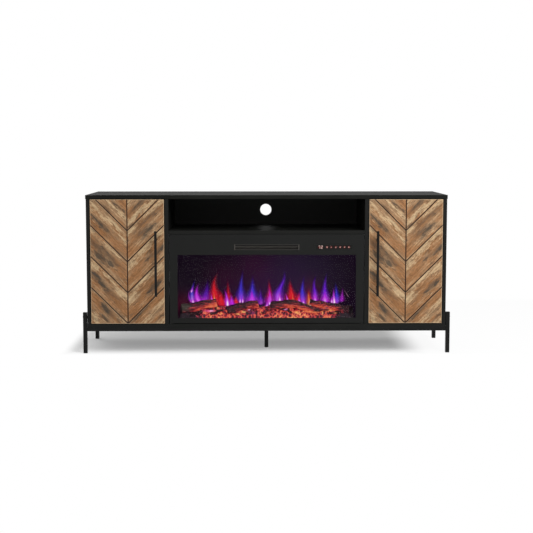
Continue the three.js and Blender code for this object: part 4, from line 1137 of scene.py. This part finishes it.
# The flames are tongues of light on that screen. Each is a thin sheet of light with a curved outline
# just in front of it, bright where it leaves the logs and fading to its tip.
flame_tones = {
    "blue": ((0.36, 0.06, 0.82), (0.062, 0.036, 0.64), (0.035, 0.012, 0.22)),
    "violet": ((0.64, 0.07, 0.88), (0.16, 0.018, 0.68), (0.05, 0.008, 0.24)),
    "magenta": ((0.62, 0.024, 0.83), (0.58, 0.028, 0.8), (0.34, 0.012, 0.42)),
    "pink": ((0.85, 0.12, 0.88), (0.66, 0.05, 0.84), (0.3, 0.02, 0.5)),
    "red": ((0.66, 0.012, 0.03), (0.75, 0.018, 0.03), (0.32, 0.008, 0.02)),
    "amber": ((0.95, 0.42, 0.12), (0.92, 0.32, 0.07), (0.62, 0.1, 0.03)),
    "ash": ((0.24, 0.12, 0.19), (0.24, 0.12, 0.19), (0.2, 0.1, 0.18)),
}
white_core = (1.0, 0.86, 0.98)
# Each tongue: base and tip as shares of the screen's half width and height, half width, sideways
# bend and hook as shares of the half width, strength, and how white its core is
flame_shares = [
    ("pink", (-0.838, 0.25), (-0.862, 0.48), 0.009, -0.02, 0, 0.45, 0),
    ("blue", (-0.824, 0.26), (-0.786, 0.62), 0.03, -0.026, 0, 0.95, 0.3),
    ("pink", (-0.82, 0.25), (-0.832, 0.37), 0.022, 0, 0, 0.95, 0.8),
    ("pink", (-0.84, 0.4), (-0.808, 0.52), 0.013, -0.004, 0, 0.9, 0.9),
    ("magenta", (-0.748, 0.25), (-0.75, 0.56), 0.036, -0.034, 0, 1, 0.15),
    ("pink", (-0.755, 0.26), (-0.765, 0.5), 0.018, -0.024, 0, 0.7, 0.1),
    ("violet", (-0.7, 0.25), (-0.66, 0.62), 0.06, 0.012, 0, 0.4, 0),
    ("magenta", (-0.705, 0.25), (-0.69, 0.35), 0.05, 0, 0, 0.6, 0),
    ("red", (-0.575, 0.25), (-0.53, 0.72), 0.052, -0.034, 0.01, 1, 0),
    ("pink", (-0.6, 0.27), (-0.612, 0.4), 0.014, -0.01, 0, 0.8, 0.3),
    ("amber", (-0.572, 0.25), (-0.588, 0.42), 0.018, -0.004, 0, 1, 1.1),
    ("red", (-0.5, 0.2), (-0.52, 0.46), 0.058, 0, 0, 1, 0),
    ("red", (-0.42, 0.24), (-0.436, 0.62), 0.036, 0, 0, 0.5, 0),
    ("magenta", (-0.434, 0.21), (-0.482, 0.48), 0.028, 0.012, 0, 1, 0.5),
    ("pink", (-0.436, 0.2), (-0.464, 0.44), 0.025, 0.008, 0, 1, 1.6),
    ("magenta", (-0.385, 0.22), (-0.4, 0.4), 0.036, 0, 0, 0.8, 0),
    ("red", (-0.34, 0.24), (-0.345, 0.37), 0.036, 0, 0, 0.8, 0),
    ("blue", (-0.284, 0.25), (-0.258, 0.76), 0.038, -0.014, 0, 1, 0),
    ("pink", (-0.297, 0.25), (-0.292, 0.39), 0.013, 0, 0, 0.95, 1.2),
    ("pink", (-0.268, 0.25), (-0.262, 0.39), 0.013, 0, 0, 0.95, 1.2),
    ("blue", (-0.162, 0.25), (-0.156, 0.68), 0.05, 0.002, 0, 1, 0),
    ("magenta", (-0.162, 0.25), (-0.166, 0.48), 0.05, 0, 0, 0.9, 0.1),
    ("violet", (-0.065, 0.22), (-0.07, 0.5), 0.034, 0, 0, 0.5, 0),
    ("red", (0.03, 0.24), (0.02, 0.64), 0.034, 0.008, 0, 0.6, 0),
    ("magenta", (0.03, 0.23), (0.018, 0.52), 0.038, 0.012, 0, 0.75, 0.2),
    ("pink", (0.004, 0.17), (0.01, 0.31), 0.024, 0, 0, 1, 1.3),
    ("pink", (0.034, 0.22), (0.038, 0.34), 0.018, 0, 0, 0.95, 1.3),
    ("violet", (0.138, 0.25), (0.188, 0.76), 0.046, 0.004, -0.022, 1, 0.1),
    ("pink", (0.15, 0.25), (0.136, 0.46), 0.026, 0.002, 0, 0.95, 1.3),
    ("pink", (0.25, 0.25), (0.206, 0.42), 0.013, -0.002, 0, 1, 1.3),
    ("red", (0.272, 0.25), (0.264, 0.62), 0.052, 0.004, 0.006, 1, 0),
    ("amber", (0.298, 0.25), (0.286, 0.42), 0.01, 0, 0, 0.6, 0.2),
    ("red", (0.345, 0.24), (0.37, 0.44), 0.05, 0, 0, 0.8, 0),
    ("blue", (0.412, 0.24), (0.428, 0.68), 0.036, -0.02, 0, 0.95, 0),
    ("pink", (0.366, 0.24), (0.362, 0.37), 0.024, 0, 0, 0.9, 0.9),
    ("pink", (0.416, 0.22), (0.404, 0.35), 0.024, 0, 0, 0.9, 1.2),
    ("amber", (0.492, 0.2), (0.464, 0.45), 0.024, -0.006, 0, 1, 0.9),
    ("red", (0.482, 0.24), (0.47, 0.5), 0.05, 0, 0, 0.4, 0),
    ("violet", (0.542, 0.27), (0.574, 0.7), 0.03, -0.026, 0.01, 0.8, 0),
    ("magenta", (0.546, 0.27), (0.53, 0.42), 0.028, 0, 0, 0.8, 0.5),
    ("violet", (0.668, 0.25), (0.68, 0.72), 0.036, -0.024, 0, 1, 0),
    ("magenta", (0.655, 0.25), (0.656, 0.46), 0.042, -0.004, 0, 0.85, 0.4),
    ("blue", (0.786, 0.24), (0.764, 0.58), 0.036, 0.006, 0, 0.8, 0),
    ("pink", (0.762, 0.22), (0.75, 0.5), 0.024, -0.004, 0, 1, 1.5),
    ("pink", (0.73, 0.25), (0.728, 0.36), 0.018, 0, 0, 0.9, 0.9),
    ("magenta", (0.84, 0.26), (0.852, 0.5), 0.026, 0, 0, 0.4, 0),
    ("ash", (0.92, 0.33), (0.842, 0.5), 0.0055, 0, 0, 0.8, 0),
]
flame_rows = 26
flame_columns = 10
flame_gap = 0.6 * mm
flame_layer = 0.12 * mm
glow_spread = 2.2
glow_strength = 0.38
flame_foot_share = 0.62
flame_widest = 0.45
flame_point_share = 0.04
flame_edge_tone = 0.35
core_half_wide = 0.34
core_rise = 0.12
core_half_tall = 0.2


def smooth_step(low, high, value):
    share = min(1, max(0, (value - low) / (high - low)))
    return share * share * (3 - 2 * share)


def blend_tones(first, second, share):
    return [a + (b - a) * share for a, b in zip(first, second)]


def sheet_faces(rows, columns, start=0):
    """Faces of a sheet of points, which lie row after row with one more than columns in each."""
    faces = []
    for row in range(rows):
        for column in range(columns):
            corner = start + row * (columns + 1) + column
            faces.append((corner, corner + 1, corner + columns + 2, corner + columns + 1))
    return faces


flame_points = []
flame_faces = []
flame_light = []
sheets = []
for tone, base, tip, wide, bend, hook, strength, core in flame_shares:
    sheets.append((tone, base, tip, wide * glow_spread, bend, hook, strength * glow_strength, 0))
sheets += flame_shares
for number, (tone, base, tip, wide, bend, hook, strength, core) in enumerate(sheets):
    low_tone, middle_tone, tip_tone = flame_tones[tone]
    flame_faces += sheet_faces(flame_rows, flame_columns, len(flame_points))
    sheet_y = screen_low.y - flame_gap - flame_layer * number
    for row in range(flame_rows + 1):
        rise = row / flame_rows
        sway = bend * math.sin(math.pi * rise) + hook * math.sin(2 * math.pi * rise)
        middle = base[0] + (tip[0] - base[0]) * rise + sway
        swell = math.sin(math.pi * min(1, rise / flame_widest))
        swell = flame_foot_share + (1 - flame_foot_share) * swell
        half = wide * (swell * (1 - rise) ** 0.75 + flame_point_share)
        height = screen_low.z + screen_tall * (base[1] + (tip[1] - base[1]) * rise)
        for column in range(flame_columns + 1):
            across = 2 * column / flame_columns - 1
            flame_points.append((screen_half * (middle + half * across), sheet_y, height))
            colour = blend_tones(low_tone, middle_tone, smooth_step(0, 0.4, rise))
            colour = blend_tones(colour, tip_tone, smooth_step(0.4, 1, rise))
            colour = blend_tones(colour, tip_tone, flame_edge_tone * across * across)
            off_core = (across / core_half_wide) ** 2 + ((rise - core_rise) / core_half_tall) ** 2
            colour = blend_tones(colour, white_core, min(1, core * math.exp(-off_core)))
            fade = (1 - across * across) ** 1.3 * (1 - smooth_step(0.25, 1, rise))
            cover = min(1, 1.25 * strength * fade * smooth_step(0, 0.1, rise))
            flame_light.append((*colour, cover))
flame_mesh = bpy.data.meshes.new("flames")
flame_mesh.from_pydata(flame_points, [], flame_faces)
flame_colours = flame_mesh.attributes.new("flame_light", "FLOAT_COLOR", "POINT")
flame_colours.data.foreach_set("color", [value for colour in flame_light for value in colour])
flames = bpy.data.objects.new("flames", flame_mesh)
bpy.context.scene.collection.objects.link(flames)
fire = Finish("flame_light", Base_Color=(0, 0, 0), Roughness=1, Specular_IOR_Level=0)
licks = fire.grain((150, 1, 26), 3, 0.6, 0.6)
fire.set("Emission Color", fire.attribute("flame_light", "Color"))
fire.set("Emission Strength", 1.0)
fire.set("Alpha", fire.attribute("flame_light", "Alpha") * fire.ramp(licks, 0.25, 0.6, 0.72, 1))
fire.material.surface_render_method = "BLENDED"
flame_mesh.materials.append(fire.material)
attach(flames, "cabinet")

# The ember bed is a vacuum formed shell of clear orange resin, painted black on its lumps. Lamps
# under it make the hollows between the lumps glow, least at its two ends.
bed_low, bed_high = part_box("ember_bed")
bed_wide = bed_high.x - bed_low.x
bed_deep = bed_high.y - bed_low.y
bed_foot = 8 * mm
bed_front_height = 22 * mm
bed_rise = 48 * mm
bed_bump = 7 * mm
bed_bump_length = 46 * mm
bed_columns = 300
bed_rows = 26
coal_scale = 74
coal_height = 4 * mm
coal_joint = 0.3
coal_joint_depth = 0.4


def bed_top(x, share):
    """The height of the bed over its foot, at x and at a share of its depth."""
    wave = 2 * math.pi * x / bed_bump_length
    short_lumps = math.sin(wave) * math.cos(math.pi * share + wave / 3)
    long_lumps = math.sin(wave / 2 + 2 * math.pi * share) / 2
    fade = math.sin(math.pi * share)
    rise = math.sin(math.pi / 2 * share)
    return bed_front_height + bed_rise * rise + bed_bump * fade * (short_lumps + long_lumps)


bed_points = []
coal_hollows = []
for row in range(bed_rows + 1):
    for column in range(bed_columns + 1):
        share = row / bed_rows
        x = bed_wide * (column / bed_columns - 0.5)
        y = bed_low.y + bed_deep * share
        near = noise.voronoi(Vector((x, y, 0)) * coal_scale)[0]
        hollow = 1 - smooth_step(0, coal_joint, near[1] - near[0])
        lump = coal_height * (0.5 - min(1, near[0]) - coal_joint_depth * hollow)
        bed_points.append(Vector((x, y, bed_low.z + bed_top(x, share) + lump)))
        coal_hollows.append(hollow)
top_count = len(bed_points)
across = bed_columns + 1
bed_faces = sheet_faces(bed_rows, bed_columns)
rim = list(range(across))
rim += [row * across + bed_columns for row in range(1, bed_rows + 1)]
rim += [bed_rows * across + column for column in range(bed_columns - 1, -1, -1)]
rim += [row * across for row in range(bed_rows - 1, 0, -1)]
for corner in rim:
    point = bed_points[corner].copy()
    point.z = bed_low.z + bed_foot
    bed_points.append(point)
    coal_hollows.append(0)
for step in range(len(rim)):
    after = (step + 1) % len(rim)
    bed_faces.append((rim[step], top_count + step, top_count + after, rim[after]))
bed_faces.append(tuple(range(top_count, top_count + len(rim))))


# Painted glints of lamp light between the coals and logs, and painted shade in two dark hollows:
# place along the bed as a share of its half width, height above its underside and half sizes in
# millimetres, and colour
painted_glint_and_shade_shares = [
    (-0.665, 51.5, 22, 4, (0.9, 0.08, 0.3)),
    (-0.638, 51, 9, 2.4, (1.2, 0.6, 0.95)),
    (-0.569, 64, 5, 3, (1.1, 0.5, 0.12)),
    (-0.337, 38.6, 10, 2.4, (1.2, 0.7, 0.2)),
    (-0.267, 47.5, 10, 3, (1.2, 0.7, 0.2)),
    (-0.204, 56, 5, 3, (1.1, 0.6, 1.1)),
    (-0.164, 42.6, 12, 6, (0.07, 0.004, 0.1)),
    (0.216, 60, 9, 3, (1.1, 0.4, 0.9)),
    (0.35, 44.4, 9, 5, (1.1, 0.52, 0.15)),
    (0.516, 48.5, 38, 2, (0.95, 0.3, 0.1)),
    (0.645, 42, 3, 8, (1.1, 0.5, 0.15)),
    (0.727, 52.5, 16, 2, (1.0, 0.42, 0.14)),
    (0.793, 43, 9, 3.5, (1.0, 0.3, 0.12)),
    (0.691, 65.7, 9, 5, (0.06, 0.004, 0.09)),
]


def heated(name, noise_stretch, contrast, glow_low, glow_high, tones, floor_glow):
    """Charred resin that glows where its heat attribute is high, through three tones over a dark one."""
    finish = Finish(name, Specular_IOR_Level=0.2)
    place = finish.place() * noise_stretch
    mottle = finish.noise(place, 1, 5, 0.65, 0.4)
    flecks = finish.noise(place, 3.1, 3, 0.7)
    dark, deep, warm, bright = tones
    level = finish.attribute("ember_heat") + (mottle - 0.5) * contrast
    colour = finish.veil(dark, deep, level, glow_low, glow_high)
    colour = finish.veil(colour, warm, level, glow_high, glow_high + 0.3)
    hottest = level + (flecks - 0.5) * 1.2
    colour = finish.veil(colour, bright, hottest, glow_high + 0.32, glow_high + 0.7)
    glow = finish.ramp(level, glow_low - 0.2, glow_low + 0.12, floor_glow, 1)
    glint_x, _, glint_z = finish.split(finish.place())
    # Painted glints of light, and painted shade in two hollows, at the listed places
    for share, rise, half_wide, half_tall, light in painted_glint_and_shade_shares:
        away_x = (glint_x - share * bed_wide / 2) * (1 / (half_wide * mm))
        away_z = (glint_z - (bed_low.z + rise * mm)) * (1 / (half_tall * mm))
        fall = finish.math("EXPONENT", (away_x * away_x + away_z * away_z) * -1)
        fall = fall * finish.ramp(flecks, 0.3, 0.6, 0.5, 1)
        colour = finish.mix(fall, colour, light)
        glow = finish.largest(glow, fall)
    finish.set("Emission Color", colour)
    finish.set("Emission Strength", glow)
    finish.roughen(flecks, 0.6, 0.85)
    finish.bump(mottle + flecks, 1.2 * mm)
    return finish, mottle, flecks


coal_tones = [(0.026, 0.002, 0.008), (0.32, 0.01, 0.028), (0.78, 0.08, 0.05), (1.0, 0.54, 0.16)]
coals, coal_mottle, _ = heated("ember_resin", (72, 72, 72), 2.1, 0.31, 0.54, coal_tones, 0)
coals.tint(coal_mottle, (0.008, 0.006, 0.012), (0.05, 0.03, 0.04))


def give_heat(piece, values):
    attribute = piece.data.attributes.new("ember_heat", "FLOAT", "POINT")
    attribute.data.foreach_set("value", values)


bed_form = (bed_points, bed_faces, Matrix.Identity(4))
embers = build("ember_bed_dressed", [bed_form], coals, "cabinet", ["ember_bed"], smooth=60)
ember_start = -0.80
ember_end = 0.82
rest_heat = 0.37
hollow_heat = 0.52
patch_heat = 0.26
swell_heat = 0.12
swell_pitch = 0.8
swell_start = 0.62
front_heat = 1.08
back_loss = 0.4
bed_heat = []
for point, hollow in zip(bed_points, coal_hollows):
    share = point.x / (bed_wide / 2)
    lit = smooth_step(ember_start - 0.1, ember_start + 0.12, share)
    lit *= 1 - smooth_step(ember_end - 0.12, ember_end + 0.06, share)
    front = front_heat - back_loss * smooth_step(0.12, 0.8, (point.y - bed_low.y) / bed_deep)
    patch = patch_heat * noise.noise(Vector((point.x * 30, point.y * 40, 4.5)))
    swell = 1 + swell_heat * math.cos(2 * math.pi * (share + swell_start) / swell_pitch)
    bed_heat.append(lit * front * swell * (rest_heat + hollow_heat * hollow + patch))
give_heat(embers, bed_heat)

# The logs are cast in resin from real ones and painted: rough bark, knots, broken hollow ends, and
# cracks that the lamps light up from within. Their undersides glow with painted light from the
# embers below, and all their bark with a faint painted light of the flames.
log_sides = 56
log_rings = 84
log_knot = 2.6 * mm
log_bark = 1.2 * mm
bark_ridge = 1.6 * mm
bark_crack = 1.8 * mm
bark_scale_around = 2.2
bark_scale_along = 26
crack_width = 0.16
ragged_share = 0.02
ragged_reach = 0.06
end_step = 0.012
seed_step = 7.3
bark_heat = 0.2
underside_painted_light = 0.74
crack_heat = 0.25
pale_reach = 60 * mm
# Each log: its two ends as places in the bed, its radii there as shares of the bed's rise, its bow,
# its knots, and the heat at its start, middle and end
log_shares = [
    ("log_1", (-0.49, 0.38, 0.83), (-0.29, 0.62, 1.46), (0.44, 0.4), 0, 3, (0.2, 0.85, 1.3)),
    ("log_2", (-0.23, 0.32, 0.6), (-0.05, 0.62, 1.3), (0.42, 0.38), 0.06, 5, (0.25, 0.55, 1.0)),
    ("log_3", (0.02, 0.42, 1.05), (0.3, 0.3, 0.4), (0.44, 0.34), 0.58, 4, (0.4, 0.95, 1.15)),
    ("log_4", (0.25, 0.74, 1.42), (0.475, 0.45, 0.62), (0.3, 0.44), 0, 6, (0.75, 1.3, 0.2)),
]
bark_tones = [(0.03, 0.006, 0.014), (0.22, 0.013, 0.024), (0.6, 0.058, 0.036), (0.82, 0.2, 0.08)]
# The least glow of 0.4 gives the bark a faint glow all over: painted light of the flames
bark, bark_mottle, bark_flecks = heated("log_resin", (34, 110, 170), 2.6, 0.34, 0.6, bark_tones, 0.4)
bark_tone = bark.veil((0.006, 0.003, 0.004), (0.034, 0.013, 0.013), bark_mottle, 0.35, 0.65)
bark_tone = bark.mix(bark.attribute("pale_end"), bark_tone, (0.05, 0.055, 0.04))
bark.tint(bark.ramp(bark_flecks, 0.5, 0.75, 0, 0.5), bark_tone, (0.075, 0.045, 0.04))


def bed_place(shares):
    """The place at shares of the bed's width from its middle, of its depth and of its rise."""
    across_share, depth_share, rise_share = shares
    return Vector((
        bed_wide * across_share,
        bed_low.y + bed_deep * depth_share,
        bed_low.z + bed_front_height + bed_rise * rise_share,
    ))


def cast_log(start, end, radii, bow, knots, seed):
    """Points and faces of one log, and how far each point faces down and lies in a crack."""
    axis = end - start
    length = axis.length
    turn = axis.to_track_quat("Z", "Y").to_matrix()
    points = []
    under = []
    cracks = []
    end_shares = [(0, 0.02), (0.45, 0.035), (0.72, 0.03), (0.86, 0.0), (0.97, 0.004)]
    body_steps = [end_step + (1 - 2 * end_step) * step / log_rings for step in range(log_rings + 1)]
    profile = end_shares + [(1, along) for along in body_steps]
    profile += [(share, 1 - depth) for share, depth in reversed(end_shares)]
    for share, along in profile:
        near_end = along < ragged_reach or along > 1 - ragged_reach
        rise = Vector((0, 0, bow * math.sin(math.pi * along)))
        for side in range(log_sides):
            angle = 2 * math.pi * side / log_sides
            x = math.cos(angle)
            y = math.sin(angle)
            outward = Vector((x, y, 0))
            knot = math.sin(knots * math.pi * along + 2 * y) * log_knot
            rough = math.cos(5 * angle + knots * along) * log_bark
            deep = along * length * bark_scale_along + seed
            sample = Vector((x * bark_scale_around, y * bark_scale_around, deep))
            ridge = noise.fractal(sample * 2.4, 0.8, 2.1, 4)
            vein = abs(noise.noise(sample * 1.3 + Vector((9, 3, seed))))
            crack = 1 - smooth_step(0.0, crack_width, vein)
            grown = radii[0] + (radii[1] - radii[0]) * along
            grown += knot + rough + bark_ridge * ridge - bark_crack * crack
            local = outward * grown * share
            ragged = ragged_share * noise.noise(Vector((x * 3, y * 3, seed + along))) if near_end else 0
            local.z = (along + ragged) * length
            points.append(start + turn @ local + rise)
            under.append(-(turn @ outward).z)
            cracks.append(crack * share)
    faces = ring_faces(len(profile), log_sides)
    faces.append(tuple(range(log_sides)))
    faces.append(tuple((len(profile) - 1) * log_sides + side for side in range(log_sides)))
    return points, faces, under, cracks


for number, (name, start, end, thickness, bow, knots, heat) in enumerate(log_shares):
    radii = [bed_rise * share for share in thickness]
    start = bed_place(start)
    end = bed_place(end)
    points, faces, under, cracks = cast_log(start, end, radii, bed_rise * bow, knots, seed_step * number)
    form = (points, faces, Matrix.Identity(4))
    piece = build(name + "_dressed", [form], bark, "cabinet", [name], smooth=70)
    values = []
    for point, low, crack in zip(points, under, cracks):
        along = (point.x - start.x) / (end.x - start.x)
        here = heat[0] + (heat[1] - heat[0]) * smooth_step(0, 0.5, along)
        here += (heat[2] - heat[1]) * smooth_step(0.5, 1, along)
        # Undersides glow more: painted light from the embers below
        values.append(here * (bark_heat + underside_painted_light * smooth_step(-0.8, 0.7, low) + crack_heat * crack))
    give_heat(piece, values)
    pale = piece.data.attributes.new("pale_end", "FLOAT", "POINT")
    pale_share = 1.0 if number == 0 else 0.0
    fades = [1 - smooth_step(0.2, 1, (point.x - start.x) / pale_reach) for point in points]
    pale.data.foreach_set("value", [pale_share * fade for fade in fades])

# Small broken sticks of the same cast resin lie on the embers in front of the logs, where they are
# glued down.
# Each stick: its two ends as places in the bed, its radius as a share of the bed's rise, and its heat
stick_shares = [
    ((-0.325, 0.18, 0.34), (-0.252, 0.28, 0.78), 0.14, 0.1),
    ((0.02, 0.3, 1.3), (0.147, 0.22, 0.5), 0.12, 0.0),
    ((-0.2, 0.16, 0.35), (-0.11, 0.3, 0.95), 0.1, 1.1),
    ((-0.44, 0.14, 0.3), (-0.37, 0.2, 0.62), 0.13, 0.0),
    ((0.27, 0.24, 0.55), (0.36, 0.3, 0.75), 0.1, 0.9),
    ((0.36, 0.16, 0.4), (0.43, 0.24, 0.62), 0.11, 0.3),
    ((-0.03, 0.18, 0.4), (0.03, 0.3, 0.7), 0.11, 0.9),
]
stick_taper = 0.7
stick_knots = 3
stick_seed = 50
side_heat = 0.6
stick_underside_painted_light = 0.3
stick_forms = []
stick_heat = []
for number, (start, end, thick, heat) in enumerate(stick_shares):
    radii = [bed_rise * thick, bed_rise * thick * stick_taper]
    ends = (bed_place(start), bed_place(end))
    points, faces, under, _ = cast_log(*ends, radii, 0, stick_knots, stick_seed + number)
    stick_forms.append((points, faces, Matrix.Identity(4)))
    # Undersides glow more: painted light from the embers below
    stick_heat += [heat * (side_heat + stick_underside_painted_light * low) for low in under]
sticks = build("kindling", stick_forms, bark, "cabinet", smooth=70)
give_heat(sticks, stick_heat)
sticks.data.attributes.new("pale_end", "FLOAT", "POINT")
